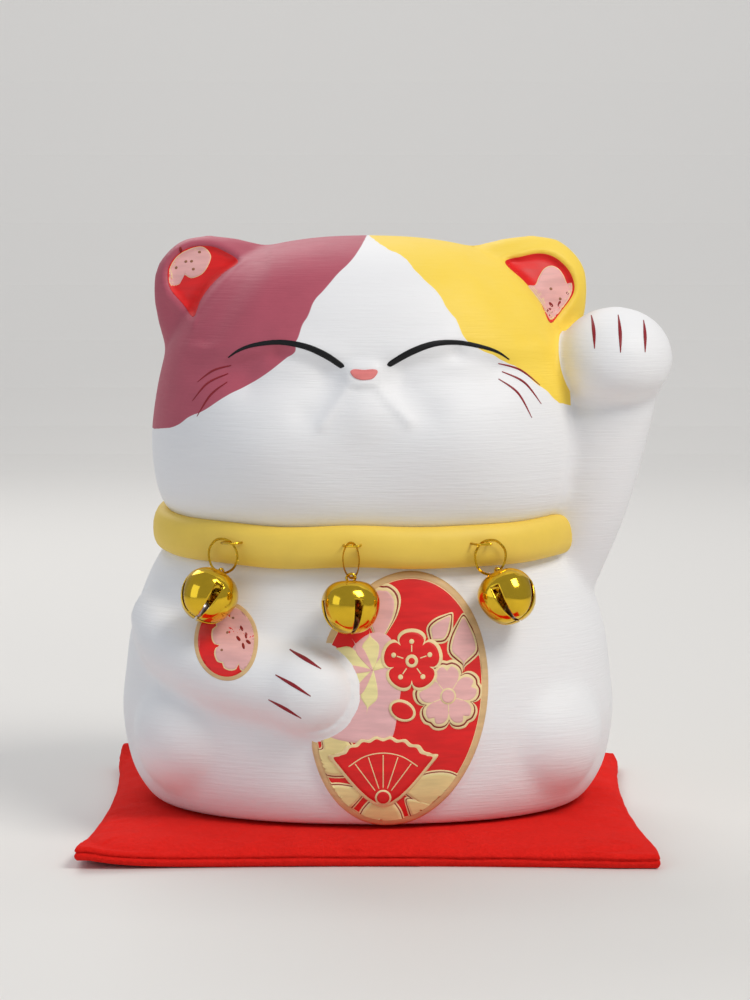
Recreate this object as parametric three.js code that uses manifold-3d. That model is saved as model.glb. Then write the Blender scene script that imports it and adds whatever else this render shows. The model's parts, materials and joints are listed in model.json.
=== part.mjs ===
// A hollow ceramic beckoning cat on a flat felt cushion, with three jingle bells hanging from its collar.
// Millimetres, +Z up. The origin is the centre of the cushion's underside and the cat faces -Y.

import * as THREE from "three";
import { ParametricGeometry } from "three/addons/geometries/ParametricGeometry.js";
import { mergeVertices } from "three/addons/utils/BufferGeometryUtils.js";
import Module from "manifold-3d";

// ---------------------------------------------------------------- driving dimensions

const gap = 0.3; // between pieces that touch
const wall = 4.5; // thickness of the fired clay

const cushion = {
  side: 170, // from corner to corner along an edge
  pullIn: 5, // how far each edge curves in between its corners
  cloth: 0.6, // thickness of one layer of felt
  edge: 5, // height of the sewn edge
  seat: 8, // height that the cat's foot rests at
};

const body = { halfWidth: 76.8, front: 65.5, back: 63, height: 90, squareness: 2.3 };
const head = { halfWidth: 67.2, front: 61.5, back: 55, height: 89.4, squareness: 2.5 };
const sunk = 5; // how far the head's form starts inside the body's
// sag: how much lower the collar lies in front than at the sides.
const collar = { halfHeight: 6.3, halfThickness: 4.4, halfWidth: 62.6, front: 55.6, back: 49.5, sag: 1.3 };

const drainRadius = 15; // the hole in the foot, left by the casting
const stopper = { lip: 4, thickness: 1.8, plug: 6, play: 0.35, tab: 1.2, tabWidth: 10 };
const recess = { margin: 11, depth: 4 }; // the hollow under the foot, round the stopper
const coinSlot = { width: 36, height: 3.6, belowCrown: 40 };

const koban = { halfWidth: 26, halfHeight: 37.5, relief: 1.3, x: 9.3, above: 38, lean: 10 };

const bell = { radius: 9, dome: 6.4, bowl: 9.2, sheet: 0.5, slot: 1.5, slotEnd: 1.4, slotTop: -0.2 };
const peaRadius = 2.6;
const loop = { wire: 0.4, leg: 0.8, bow: 1.5, hole: 1.6 }; // on a bell's crown
const ring = { wire: 0.4, radius: 5.1 };
const staple = { wire: 0.35, halfWidth: 2.5, reach: 4.3, rooted: 3.4, belowMiddle: 0.9 };

// Where each bell hangs along the collar, and the leg of its staple that the ring is on (0: the bow).
// In degrees: how far the ring has swayed or turned, how far round the ring the bell has slipped, and how far the
// bell tips sideways.
const hangings = [
  { side: "left", x: -37.2, leg: -1, sway: 3, turn: 0, slip: 4, tip: 4 },
  { side: "middle", x: -4.2, leg: 0, sway: 0, turn: 66, slip: 0, tip: 0 },
  { side: "right", x: 31, leg: 1, sway: -3, turn: 0, slip: -24, tip: -4 },
];

// ---------------------------------------------------------------- materials

const materials = {
  clay: new THREE.MeshStandardMaterial({ color: 0xf2f0ee, roughness: 0.62, metalness: 0 }),
  rubber: new THREE.MeshStandardMaterial({ color: 0x8d8a83, roughness: 0.8, metalness: 0 }),
  gilt: new THREE.MeshStandardMaterial({ color: 0xd8a81e, roughness: 0.16, metalness: 1 }),
  steel: new THREE.MeshStandardMaterial({ color: 0x9a9a9c, roughness: 0.35, metalness: 1 }),
  felt: new THREE.MeshStandardMaterial({ color: 0xc8141a, roughness: 0.95, metalness: 0 }),
  wadding: new THREE.MeshStandardMaterial({ color: 0xe9e4d8, roughness: 1, metalness: 0 }),
};

// ---------------------------------------------------------------- making solids

const wasm = await Module();
wasm.setup();

const radians = (angle) => THREE.MathUtils.degToRad(angle);

// A closed geometry as a solid that can be joined and cut.
function solidOf(geometry) {
  const loose = geometry.index ? geometry.toNonIndexed() : geometry;
  const bare = new THREE.BufferGeometry().setAttribute("position", loose.getAttribute("position"));
  const merged = mergeVertices(bare, 1e-4);
  const corners = merged.index.array;
  const kept = [];
  for (let i = 0; i < corners.length; i += 3) {
    const [a, b, c] = corners.slice(i, i + 3);
    if (a !== b && b !== c && c !== a) kept.push(a, b, c);
  }
  const vertProperties = new Float32Array(merged.attributes.position.array);
  return new wasm.Manifold(new wasm.Mesh({ numProp: 3, vertProperties, triVerts: new Uint32Array(kept) }));
}

function joined(...geometries) {
  return geometries.map(solidOf).reduce((whole, part) => whole.add(part));
}

function meshOf(name, solid, material) {
  const { vertProperties, triVerts } = solid.getMesh();
  const geometry = new THREE.BufferGeometry()
    .setAttribute("position", new THREE.BufferAttribute(vertProperties, 3))
    .setIndex(new THREE.BufferAttribute(triVerts, 1));
  const mesh = new THREE.Mesh(geometry, material);
  mesh.name = name;
  return mesh;
}

// A closed form made of rings of points: ringAt(t, angle) for t from 0 to 1, with a flat cap at each end.
function lofted(ringAt, around, levels) {
  const centre = (t) => ringAt(t, 0).add(ringAt(t, Math.PI)).multiplyScalar(0.5);
  const surface = (u, v, target) => {
    const row = Math.round(v * (levels + 2)) - 1;
    if (row < 0) target.copy(centre(0));
    else if (row > levels) target.copy(centre(1));
    else target.copy(ringAt(row / levels, 2 * Math.PI * (u % 1)));
  };
  return new ParametricGeometry(surface, around, levels + 2);
}

// A superellipse, deeper in front than behind.
function rounded(angle, squareness, halfWidth, front, back) {
  const [c, s] = [Math.cos(angle), Math.sin(angle)];
  const reach = (Math.abs(c) ** squareness + Math.abs(s) ** squareness) ** (-1 / squareness);
  return [reach * c * halfWidth, reach * s * (s < 0 ? front : back)];
}

function ellipsoid(centre, radii, turn = [0, 0, 0], across = 20, up = 12) {
  const rotation = new THREE.Euler(...turn.map(radians));
  return new THREE.SphereGeometry(1, across, up)
    .scale(...radii)
    .applyMatrix4(new THREE.Matrix4().makeRotationFromEuler(rotation))
    .translate(...centre);
}

function cylinder(radius, low, high, segments = 28) {
  return new THREE.CylinderGeometry(radius, radius, high - low, segments)
    .rotateX(Math.PI / 2)
    .translate(0, 0, (low + high) / 2);
}

// A tapering limb through rows of x, y, z and radius.
function limb(rows, around, levels) {
  const path = new THREE.CatmullRomCurve3(rows.map(([x, y, z]) => new THREE.Vector3(x, y, z)));
  const radii = new THREE.SplineCurve(rows.map((row, i) => new THREE.Vector2(i, row[3])));
  const frames = path.computeFrenetFrames(levels, false);
  const ringAt = (t, angle) => {
    const station = Math.round(t * levels);
    const radius = radii.getPoint(t).y;
    return path
      .getPointAt(t)
      .addScaledVector(frames.normals[station], radius * Math.cos(angle))
      .addScaledVector(frames.binormals[station], radius * Math.sin(angle));
  };
  return lofted(ringAt, around, levels);
}

// A bar of round wire through a list of points.
function wire(points, radius, steps, closed = false) {
  const section = new THREE.Shape();
  section.absarc(0, 0, radius, 0, 2 * Math.PI, false);
  const path = new THREE.CatmullRomCurve3(points.map((p) => new THREE.Vector3(...p)), closed);
  return new THREE.ExtrudeGeometry(section, { steps, curveSegments: 3, bevelEnabled: false, extrudePath: path });
}

// ---------------------------------------------------------------- the cat's forms

// Heights in this part are over the cat's foot.
const headBase = body.height - sunk;
const crown = headBase + head.height;
const neck = headBase - 0.4; // the middle of the collar

// Each row: share of the half width, of the depth in front, of the depth behind, and of the height.
const bodyRows = [
  [0.86, 0.92, 0.82, 0],
  [0.905, 0.95, 0.88, 0.035],
  [0.966, 0.985, 0.96, 0.13],
  [1, 1, 1, 0.3],
  [0.985, 0.965, 0.98, 0.45],
  [0.965, 0.92, 0.945, 0.58],
  [0.915, 0.87, 0.885, 0.72],
  [0.84, 0.815, 0.8, 0.85],
  [0.7, 0.7, 0.68, 1],
];
const headRows = [
  [0.84, 0.84, 0.84, 0],
  [0.94, 0.925, 0.92, 0.07],
  [0.983, 0.975, 0.965, 0.16],
  [1, 1, 1, 0.3],
  [0.985, 0.98, 1, 0.42],
  [0.955, 0.935, 0.99, 0.54],
  [0.905, 0.895, 0.95, 0.66],
  [0.82, 0.82, 0.87, 0.78],
  [0.7, 0.7, 0.73, 0.88],
  [0.5, 0.5, 0.52, 0.955],
  [0.25, 0.25, 0.26, 0.991],
  [0, 0, 0, 1],
];

// The point of a form at t, from 0 at its bottom row to 1 at its top one, and at an angle round it.
function sectionOf(rows, size, inset) {
  const column = (i) => new THREE.SplineCurve(rows.map((row) => new THREE.Vector2(row[i], row[3])));
  const [sides, fronts, backs] = [column(0), column(1), column(2)];
  const reach = (share, whole) => Math.max(share * whole - inset, 0);
  return (t, angle) => {
    const side = sides.getPoint(t);
    const front = reach(fronts.getPoint(t).x, size.front);
    const back = reach(backs.getPoint(t).x, size.back);
    const [x, y] = rounded(angle, size.squareness, reach(side.x, size.halfWidth), front, back);
    return new THREE.Vector3(x, y, side.y * size.height);
  };
}

// A form from its rows, smaller all round by inset and kept between two heights.
function form(rows, size, base, inset, low, high, around, levels) {
  const section = sectionOf(rows, size, inset);
  const ringAt = (t, angle) => {
    const point = section(t, angle);
    return point.setZ(THREE.MathUtils.clamp(base + point.z, low, high));
  };
  return lofted(ringAt, around, levels);
}


function bodyForm(inset, low, around = 36, levels = 12) {
  return form(bodyRows, body, 0, inset, low, body.height, around, levels);
}

function headForm(inset, high, around = 36, levels = 14) {
  return form(headRows, head, headBase, inset, 0, high, around, levels);
}

function collarBand() {
  const ringAt = (t, angle) => {
    const around = 2 * Math.PI * t;
    const [x, y] = rounded(around, 2.4, collar.halfWidth, collar.front, collar.back);
    const [nx, ny] = [x / collar.halfWidth ** 2, y / collar.front ** 2];
    const out = (collar.halfThickness * Math.cos(angle)) / Math.hypot(nx, ny);
    const middle = neck - collar.sag * Math.max(0, -y / collar.front);
    return new THREE.Vector3(x + nx * out, y + ny * out, middle + collar.halfHeight * Math.sin(angle));
  };
  const surface = (u, v, target) => target.copy(ringAt(u % 1, 2 * Math.PI * (v % 1)));
  return new ParametricGeometry(surface, 40, 8);
}

// A blunt cone that leans outwards from the top of the head, flattened from front to back.
function ear(side) {
  const profile = new THREE.SplineCurve(
    [[0, -34], [27, -32], [24, -24], [18.6, -14], [14.4, -8], [10.6, -4], [7.4, -1.6], [4.4, -0.4], [0, 0]].map(
      ([r, z]) => new THREE.Vector2(r, z),
    ),
  );
  const points = profile.getPoints(9);
  points[0].x = 0;
  points[points.length - 1].x = 0;
  return new THREE.LatheGeometry(points, 16)
    .rotateX(Math.PI / 2)
    .scale(1, 0.62, 1)
    .rotateY(radians(side * 46))
    .translate(side > 0 ? 63.6 : -62, -5, crown - 4.9);
}

function raisedArm() {
  const upper = limb([[52, -6, 54, 12], [60, -12, 76, 13.5], [67, -17, 98, 14.6], [74.2, -21, 130, 15]], 16, 6);
  const paw = ellipsoid([75.2, -25.5, 137.5], [17.4, 19, 15.2], [12, 0, 0], 16, 10);
  return joined(upper, paw);
}

const forearmRows = [[-63, -14, 58, 11], [-57, -36, 50.5, 11.5], [-42, -50, 45, 12.5], [-22, -57.5, 41, 13]];

function loweredArm() {
  const paw = ellipsoid([-17.5, -61, 40.5], [14.6, 12.5, 13.4], [0, 25, 0], 16, 10);
  return joined(limb(forearmRows, 16, 6), paw);
}

function haunch(side) {
  return ellipsoid([side * 46.5, -31, 24], [25, 27, 23], [0, 0, side * 38], 16, 10);
}

function tail() {
  const tip = ellipsoid([-16, 62, 23], [8.5, 8, 8.5], [0, 0, 0], 10, 6);
  return joined(limb([[22, 50, 9, 8], [12, 58, 10, 8.5], [-6, 62.5, 15, 8.5], [-16, 62, 23, 8.5]], 10, 5), tip);
}

function nose() {
  return ellipsoid([-1.2, -56, 134], [5.2, 3.6, 3.4], [0, 0, 0], 10, 6);
}

// The oval coin that the cat holds: the part of a thicker belly that lies inside an oval.
function kobanRelief() {
  const oval = new THREE.CylinderGeometry(1, 1, 60, 40)
    .scale(koban.halfWidth, 1, koban.halfHeight)
    .rotateY(radians(koban.lean))
    .translate(koban.x, -60, koban.above);
  return solidOf(bodyForm(-koban.relief, 1)).intersect(solidOf(oval));
}

// The hollow that the casting leaves inside the walls.
function cavity() {
  const floor = recess.depth + wall;
  return joined(bodyForm(wall, floor, 24, 8), headForm(wall, crown - wall, 24, 8));
}

function stapleFeet(place) {
  const socket = (side) =>
    cylinder(staple.wire + gap, -staple.rooted - gap, staple.rooted, 10)
      .rotateX(Math.PI / 2)
      .translate(side * staple.halfWidth, 0, 0)
      .applyMatrix4(place);
  return joined(socket(-1), socket(1));
}

function catShell() {
  const slot = new THREE.BoxGeometry(coinSlot.width, 40, coinSlot.height);
  const cuts = [
    cavity(),
    solidOf(cylinder(drainRadius + stopper.lip + recess.margin, -1, recess.depth, 40)),
    solidOf(cylinder(drainRadius, 0, recess.depth + wall + 1, 32)),
    solidOf(slot.translate(0, head.back - 8, crown - coinSlot.belowCrown)),
    ...hangings.map((hanging) => stapleFeet(staplePlace(hanging))),
  ];
  const outside = [
    solidOf(headForm(0, crown)),
    solidOf(collarBand()),
    solidOf(ear(-1)),
    solidOf(ear(1)),
    raisedArm(),
    loweredArm(),
    solidOf(haunch(-1)),
    solidOf(haunch(1)),
    tail(),
    solidOf(nose()),
    kobanRelief(),
  ].reduce((whole, part) => whole.add(part), solidOf(bodyForm(0, 0)));
  const shell = cuts.reduce((whole, cut) => whole.subtract(cut), outside);
  return largest(shell);
}

// Joining rounded forms can shut tiny pockets between them. This keeps the outer surface and fills the pockets.
function largest(solid) {
  return solid.decompose().reduce((most, part) => (part.volume() > most.volume() ? part : most));
}

// ---------------------------------------------------------------- bells and what they hang from

// The frame of a staple: its legs point along -Y, out of the front of the collar.
function staplePlace(hanging) {
  const share = Math.abs(hanging.x / collar.halfWidth) ** 2.4;
  const y = -collar.front * (1 - share) ** (1 / 2.4);
  const normal = new THREE.Vector2(hanging.x / collar.halfWidth ** 2, y / collar.front ** 2).normalize();
  const out = collar.halfThickness;
  const turn = Math.atan2(normal.x, -normal.y);
  return new THREE.Matrix4()
    .makeRotationZ(turn)
    .setPosition(hanging.x + normal.x * out, y + normal.y * out, neck - staple.belowMiddle);
}

function stapleWire() {
  const { halfWidth, reach, rooted } = staple;
  const half = [
    [halfWidth, rooted, 0],
    [halfWidth, rooted / 2, 0],
    [halfWidth, 0, 0],
    [halfWidth, -reach * 0.55, 0],
    [halfWidth * 0.75, -reach * 0.93, 0],
    [0, -reach, 0],
  ];
  const other = half.slice(0, -1).reverse().map(([x, y, z]) => [-x, y, z]);
  return wire([...half, ...other], staple.wire, 22);
}

// From the wire that a ring hangs on, down to the ring's centre.
const ringDrop = ring.radius - ring.wire - staple.wire - gap;

function ringWire() {
  return new THREE.TorusGeometry(ring.radius, ring.wire, 6, 30).rotateX(Math.PI / 2).translate(0, 0, -ringDrop);
}

// From the ring's wire down to the bell's crown and to the bell's middle.
const crownDrop = ring.wire + gap + 0.2;
const middleDrop = crownDrop + bell.dome;

function bellProfile(inset) {
  const points = [];
  const rows = 10;
  for (let i = 0; i <= rows; i++) {
    const angle = -Math.PI / 2 + (Math.PI * i) / rows;
    const height = Math.sin(angle) < 0 ? bell.bowl : bell.dome;
    const radius = i === 0 || i === rows ? 0 : (bell.radius - inset) * Math.cos(angle);
    points.push(new THREE.Vector2(radius, (height - inset) * Math.sin(angle)));
  }
  return new THREE.LatheGeometry(points, 20).rotateX(Math.PI / 2);
}

// A thin round shell with a cross of slots from its bottom, each ending in a round hole, and a hole in its crown.
function bellShell() {
  const depth = 12;
  const slots = [0, 90].map((angle) => {
    const slit = new THREE.BoxGeometry(2 * bell.radius + 2, bell.slot, depth)
      .translate(0, 0, bell.slotTop - depth / 2)
      .rotateZ(radians(angle));
    const ends = cylinder(bell.slotEnd, -bell.radius - 1, bell.radius + 1, 12)
      .rotateY(Math.PI / 2)
      .translate(0, 0, bell.slotTop)
      .rotateZ(radians(angle));
    return joined(slit, ends);
  });
  const hole = solidOf(cylinder(loop.hole, 3, bell.dome + 1, 14));
  return [solidOf(bellProfile(bell.sheet)), hole, ...slots]
    .reduce((shell, cut) => shell.subtract(cut), solidOf(bellProfile(0)))
    .translate(0, 0, -middleDrop);
}

// The wire loop through a bell's crown: it goes round the ring's wire and its two ends are splayed inside the dome.
function bellLoop() {
  const under = -crownDrop - bell.sheet - gap - loop.wire;
  const half = [
    [0, 3.4, under - 0.75],
    [0, 2, under - 0.3],
    [0, loop.leg, under + 0.5],
    [0, loop.bow * 0.72, -crownDrop + 0.15],
    [0, loop.bow * 0.8, -0.1],
    [0, loop.bow * 0.55, 0.75],
    [0, 0, ring.wire + gap + loop.wire],
  ];
  const other = half.slice(0, -1).reverse().map(([x, y, z]) => [x, -y, z]);
  return wire([...half, ...other], loop.wire, 22);
}

function pea() {
  const low = bell.bowl - bell.sheet - gap - peaRadius;
  return new THREE.SphereGeometry(peaRadius, 14, 9).rotateX(Math.PI / 2).translate(0, 0, -low);
}

function turned(group, x, y, z) {
  group.rotation.set(radians(x), radians(y), radians(z), "ZYX");
  return group;
}

// A staple, the ring on it, the bell on the ring and the pea in the bell, each turning in the one before.
function hanging(where) {
  const { side, leg, sway, turn, slip, tip } = where;
  const whole = new THREE.Group();
  whole.applyMatrix4(staplePlace(where));
  whole.add(meshOf(`eyelet_${side}`, solidOf(stapleWire()), materials.gilt));

  const onStaple = turned(new THREE.Group(), 0, sway, 0);
  onStaple.name = `hang_${side}`;
  onStaple.position.set(leg * staple.halfWidth, leg ? -staple.reach * 0.5 : -staple.reach, 0);
  const facing = turned(new THREE.Group(), 0, 0, turn);
  facing.add(meshOf(`ring_${side}`, solidOf(ringWire()), materials.gilt));

  const onRing = turned(new THREE.Group(), 0, tip, 0);
  onRing.name = `pivot_${side}`;
  const round = radians(slip);
  onRing.position.set(-ring.radius * Math.sin(round), 0, -ringDrop - ring.radius * Math.cos(round));
  onRing.add(meshOf(`bell_shell_${side}`, bellShell(), materials.gilt));
  onRing.add(meshOf(`bell_loop_${side}`, solidOf(bellLoop()), materials.gilt));

  const inside = new THREE.Group();
  inside.name = `middle_${side}`;
  inside.position.z = -middleDrop;
  inside.add(meshOf(`pea_${side}`, solidOf(pea()), materials.steel));

  onRing.add(inside);
  facing.add(onRing);
  onStaple.add(facing);
  whole.add(onStaple);
  leanOff(whole, leg ? onRing : onStaple, inside);
  return whole;
}

// Leans a bell out by half degrees until it hangs clear of the belly and of the forearm.
function leanOff(whole, leaning, inside) {
  const middle = new THREE.Vector3();
  for (let lean = 0; lean < 80; lean += 0.5) {
    leaning.rotation.x = -radians(lean);
    whole.updateMatrixWorld(true);
    inside.getWorldPosition(middle);
    if (belly.every(({ point, radius }) => roomAt(middle, point) > radius + gap)) return;
  }
}

// The room between a bell, taken as an upright egg round its middle, and a point.
function roomAt(middle, point) {
  const away = point.clone().sub(middle);
  away.z *= bell.radius / (away.z > 0 ? bell.dome : bell.bowl);
  return away.length() - bell.radius;
}

// The front of the belly and the forearm as balls that a bell must stay clear of.
const belly = [];
const bodySection = sectionOf(bodyRows, body, 0);
for (let t = 0.6; t < 0.9; t += 0.02) {
  for (let angle = Math.PI; angle < 2 * Math.PI; angle += Math.PI / 60) {
    const point = bodySection(t, angle);
    const onKoban = Math.abs(point.x - koban.x) < koban.halfWidth;
    belly.push({ point, radius: onKoban ? koban.relief : 0 });
  }
}
const forearm = new THREE.CatmullRomCurve3(forearmRows.map(([x, y, z]) => new THREE.Vector3(x, y, z)));
for (let t = 0; t <= 1; t += 0.05) {
  belly.push({ point: forearm.getPoint(t), radius: forearmRows[1][3] });
}

// ---------------------------------------------------------------- stopper

function baseStopper() {
  const top = recess.depth - gap;
  const plug = cylinder(drainRadius - stopper.play, top - 0.5, top + stopper.plug, 32);
  const flange = cylinder(drainRadius + stopper.lip, top - stopper.thickness, top, 32);
  const tab = new THREE.BoxGeometry(stopper.tabWidth, 2.4, stopper.tab + 0.4);
  return joined(plug, flange, tab.translate(0, 0, top - stopper.thickness - stopper.tab / 2 + 0.2));
}

// ---------------------------------------------------------------- cushion

// A point on the cushion's outline: four sides that curve in between sharp corners.
function outline(angle, inset) {
  const quarter = (angle / (Math.PI / 2)) % 4;
  const along = 2 * (quarter - Math.floor(quarter)) - 1;
  const half = cushion.side / 2;
  const point = new THREE.Vector2(half - cushion.pullIn * (1 - along ** 2), half * along);
  const scale = (half - inset) / half;
  return point.rotateAround(new THREE.Vector2(), Math.floor(quarter) * (Math.PI / 2)).multiplyScalar(scale);
}

function cushionForm(rows, inset) {
  const ringAt = (t, angle) => {
    const [share, z] = rows[Math.round(t * (rows.length - 1))];
    const { x, y } = outline(angle, inset);
    return new THREE.Vector3(x * share, y * share, z);
  };
  return solidOf(lofted(ringAt, 40, rows.length - 1));
}

function pillow(inset, low) {
  const top = cushion.seat - gap;
  const shares = [1, 0.98, 0.94, 0.88, 0.8, 0.6];
  const heights = shares.map((share) => cushion.edge + (top - cushion.edge) * (1 - share ** 12) ** 0.7);
  return cushionForm([[1, low], ...shares.map((share, i) => [share, heights[i] - inset])], inset);
}

function cushionPieces() {
  const { cloth } = cushion;
  const cover = pillow(0, cloth + gap).subtract(pillow(cloth, 0));
  const base = cushionForm([[1, 0], [1, cloth]], 0);
  return [
    meshOf("cushion_cover_base", base, materials.felt),
    meshOf("cushion_wadding", pillow(cloth + gap, cloth + gap), materials.wadding),
    meshOf("cushion_cover_top", cover, materials.felt),
  ];
}

// ---------------------------------------------------------------- the whole

const figurine = new THREE.Group();
figurine.name = "beckoning_cat_figurine";
figurine.add(...cushionPieces());

const cat = new THREE.Group();
cat.position.z = cushion.seat;
cat.add(meshOf("cat_shell", catShell(), materials.clay));
cat.add(meshOf("base_stopper", baseStopper(), materials.rubber));
for (const one of hangings) cat.add(hanging(one));
figurine.add(cat);

export default figurine;
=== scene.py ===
import bisect
import json
import math

import bmesh
import bpy
from bpy.props import FloatProperty, FloatVectorProperty, IntProperty, PointerProperty
from mathutils import Matrix, Quaternion, Vector, noise
from mathutils.bvhtree import BVHTree


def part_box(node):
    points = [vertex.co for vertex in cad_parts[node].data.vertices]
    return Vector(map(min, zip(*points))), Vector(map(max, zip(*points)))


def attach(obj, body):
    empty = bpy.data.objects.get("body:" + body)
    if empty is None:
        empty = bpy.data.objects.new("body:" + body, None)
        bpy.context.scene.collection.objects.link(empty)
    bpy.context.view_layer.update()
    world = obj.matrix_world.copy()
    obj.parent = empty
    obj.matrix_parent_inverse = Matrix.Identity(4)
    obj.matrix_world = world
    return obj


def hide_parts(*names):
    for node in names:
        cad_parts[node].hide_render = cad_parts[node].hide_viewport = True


bl_info = {
    "name": "Ceramic Beckoning Cat",
    "version": (1, 0, 0),
    "blender": (4, 5, 0),
    "location": "View3D > Sidebar > Figurine",
    "description": "Builds a painted ceramic cat on a felt cushion, with jingle bells on its collar",
    "category": "Add Mesh",
}

# Shapes are made in millimetres and scaled to metres when a piece is finished.
MM = 0.001

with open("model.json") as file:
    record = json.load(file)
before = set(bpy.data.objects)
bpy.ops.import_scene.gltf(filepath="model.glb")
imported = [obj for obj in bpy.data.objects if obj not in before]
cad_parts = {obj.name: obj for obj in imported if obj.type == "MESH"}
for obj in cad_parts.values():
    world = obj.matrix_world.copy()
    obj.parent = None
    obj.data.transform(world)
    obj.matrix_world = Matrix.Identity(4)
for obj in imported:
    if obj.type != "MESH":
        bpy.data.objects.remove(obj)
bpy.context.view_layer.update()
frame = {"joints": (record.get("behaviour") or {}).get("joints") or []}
JOINTS = {joint["name"]: joint for joint in frame["joints"]}
SIDES = ("left", "middle", "right")


def node_box(name):
    low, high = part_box(name)
    return Vector(low) / MM, Vector(high) / MM


CAT_LOW, CAT_HIGH = node_box("cat_shell")
FOOT = CAT_LOW.z  # the height of the cat's foot over the table


# ---------------------------------------------------------------- sizes and colours


class CatSizes(bpy.types.PropertyGroup):
    """The ceramic cat's forms."""

    body_half_width: FloatProperty(
        name="Body half width", description="From the middle of the body to its widest point",
        default=76.8 * MM, unit="LENGTH")
    head_half_width: FloatProperty(
        name="Head half width", description="From the middle of the head to its widest point",
        default=67.2 * MM, unit="LENGTH")
    clay_grain: FloatProperty(
        name="Clay grain", description="Size of the cells that the clay form is fused in",
        default=1.2 * MM, unit="LENGTH")
    smoothing: IntProperty(
        name="Smoothing", description="Passes that soften the joins between the forms", default=14)
    brush_white: FloatVectorProperty(
        name="White", description="The cat's ground colour", subtype="COLOR", default=(0.86, 0.86, 0.87))
    mauve: FloatVectorProperty(
        name="Mauve", description="The patch over the left ear", subtype="COLOR", default=(0.46, 0.082, 0.125))
    yellow: FloatVectorProperty(
        name="Yellow", description="The patch over the right ear", subtype="COLOR", default=(0.95, 0.66, 0.045))
    collar_yellow: FloatVectorProperty(
        name="Collar yellow", description="The moulded collar", subtype="COLOR", default=(0.86, 0.60, 0.085))


class PaintColours(bpy.types.PropertyGroup):
    """The colours of the painted lines and motifs."""

    black: FloatVectorProperty(
        name="Black", description="The eyes", subtype="COLOR", default=(0.003, 0.003, 0.004))
    wine: FloatVectorProperty(
        name="Wine red", description="Whiskers and claws", subtype="COLOR", default=(0.27, 0.012, 0.02))
    nose: FloatVectorProperty(
        name="Nose pink", description="The nose", subtype="COLOR", default=(0.80, 0.23, 0.22))
    red: FloatVectorProperty(
        name="Red", description="The panel's field and the ears", subtype="COLOR", default=(0.74, 0.016, 0.016))
    petal: FloatVectorProperty(
        name="Petal pink", description="Blossom petals", subtype="COLOR", default=(0.80, 0.44, 0.42))
    cream: FloatVectorProperty(
        name="Cream", description="The outlines of the motifs", subtype="COLOR", default=(0.85, 0.68, 0.36))
    straw: FloatVectorProperty(
        name="Straw", description="The lower blossoms", subtype="COLOR", default=(0.80, 0.66, 0.30))
    gold_line: FloatVectorProperty(
        name="Gold line", description="The panel's rim", subtype="COLOR", default=(0.70, 0.47, 0.23))
    dark_red: FloatVectorProperty(
        name="Dark red", description="Inner outlines of the motifs", subtype="COLOR", default=(0.26, 0.012, 0.01))
    lemon: FloatVectorProperty(
        name="Lemon", description="The star's rays", subtype="COLOR", default=(0.86, 0.76, 0.36))
    brown: FloatVectorProperty(
        name="Brown", description="The specks on the petals", subtype="COLOR", default=(0.30, 0.14, 0.07))
    rose: FloatVectorProperty(
        name="Rose", description="The pale wash behind the motifs", subtype="COLOR", default=(0.80, 0.46, 0.46))


class MetalSizes(bpy.types.PropertyGroup):
    """The bells and their wire."""

    sheet: FloatProperty(
        name="Sheet", description="Thickness of a bell's brass sheet", default=0.45 * MM, unit="LENGTH")
    slot: FloatProperty(
        name="Slot", description="Width of the slots at their narrow end", default=1.0 * MM, unit="LENGTH")
    gold: FloatVectorProperty(
        name="Gold", description="The plating", subtype="COLOR", default=(0.86, 0.55, 0.035))


class CushionSizes(bpy.types.PropertyGroup):
    """The felt cushion."""

    pull_in: FloatProperty(
        name="Pull in", description="How far each side curves in between its corners",
        default=5 * MM, unit="LENGTH")
    cells: IntProperty(name="Cells", description="Cells along one side of the cushion", default=190)
    felt: FloatVectorProperty(
        name="Felt red", description="The felt", subtype="COLOR", default=(0.96, 0.016, 0.010))


class StageSizes(bpy.types.PropertyGroup):
    """The floor, the lights and the camera."""

    distance: FloatProperty(
        name="Camera distance", description="From the camera to the middle of the cat", default=0.952, unit="LENGTH")
    eye_height: FloatProperty(
        name="Camera height", description="Of the camera over the floor", default=0.183, unit="LENGTH")
    pitch: FloatProperty(
        name="Camera pitch", description="How far the camera looks down", default=math.radians(5),
        unit="ROTATION", subtype="ANGLE")


# ---------------------------------------------------------------- shader expressions


class Wire:
    """A socket of a material's node tree. Python's operators on it add Math nodes."""

    def __init__(self, paint, socket):
        self.paint = paint
        self.socket = socket

    def __add__(self, other):
        return self.paint.math("ADD", self, other)

    __radd__ = __add__

    def __mul__(self, other):
        return self.paint.math("MULTIPLY", self, other)

    __rmul__ = __mul__

    def __sub__(self, other):
        return self.paint.math("SUBTRACT", self, other)

    def __rsub__(self, other):
        return self.paint.math("SUBTRACT", other, self)

    def __truediv__(self, other):
        return self.paint.math("DIVIDE", self, other)

    def __gt__(self, other):
        return self.paint.math("GREATER_THAN", self, other)

    def __lt__(self, other):
        return self.paint.math("LESS_THAN", self, other)

    def __pow__(self, other):
        return self.paint.math("POWER", self, other)


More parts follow.
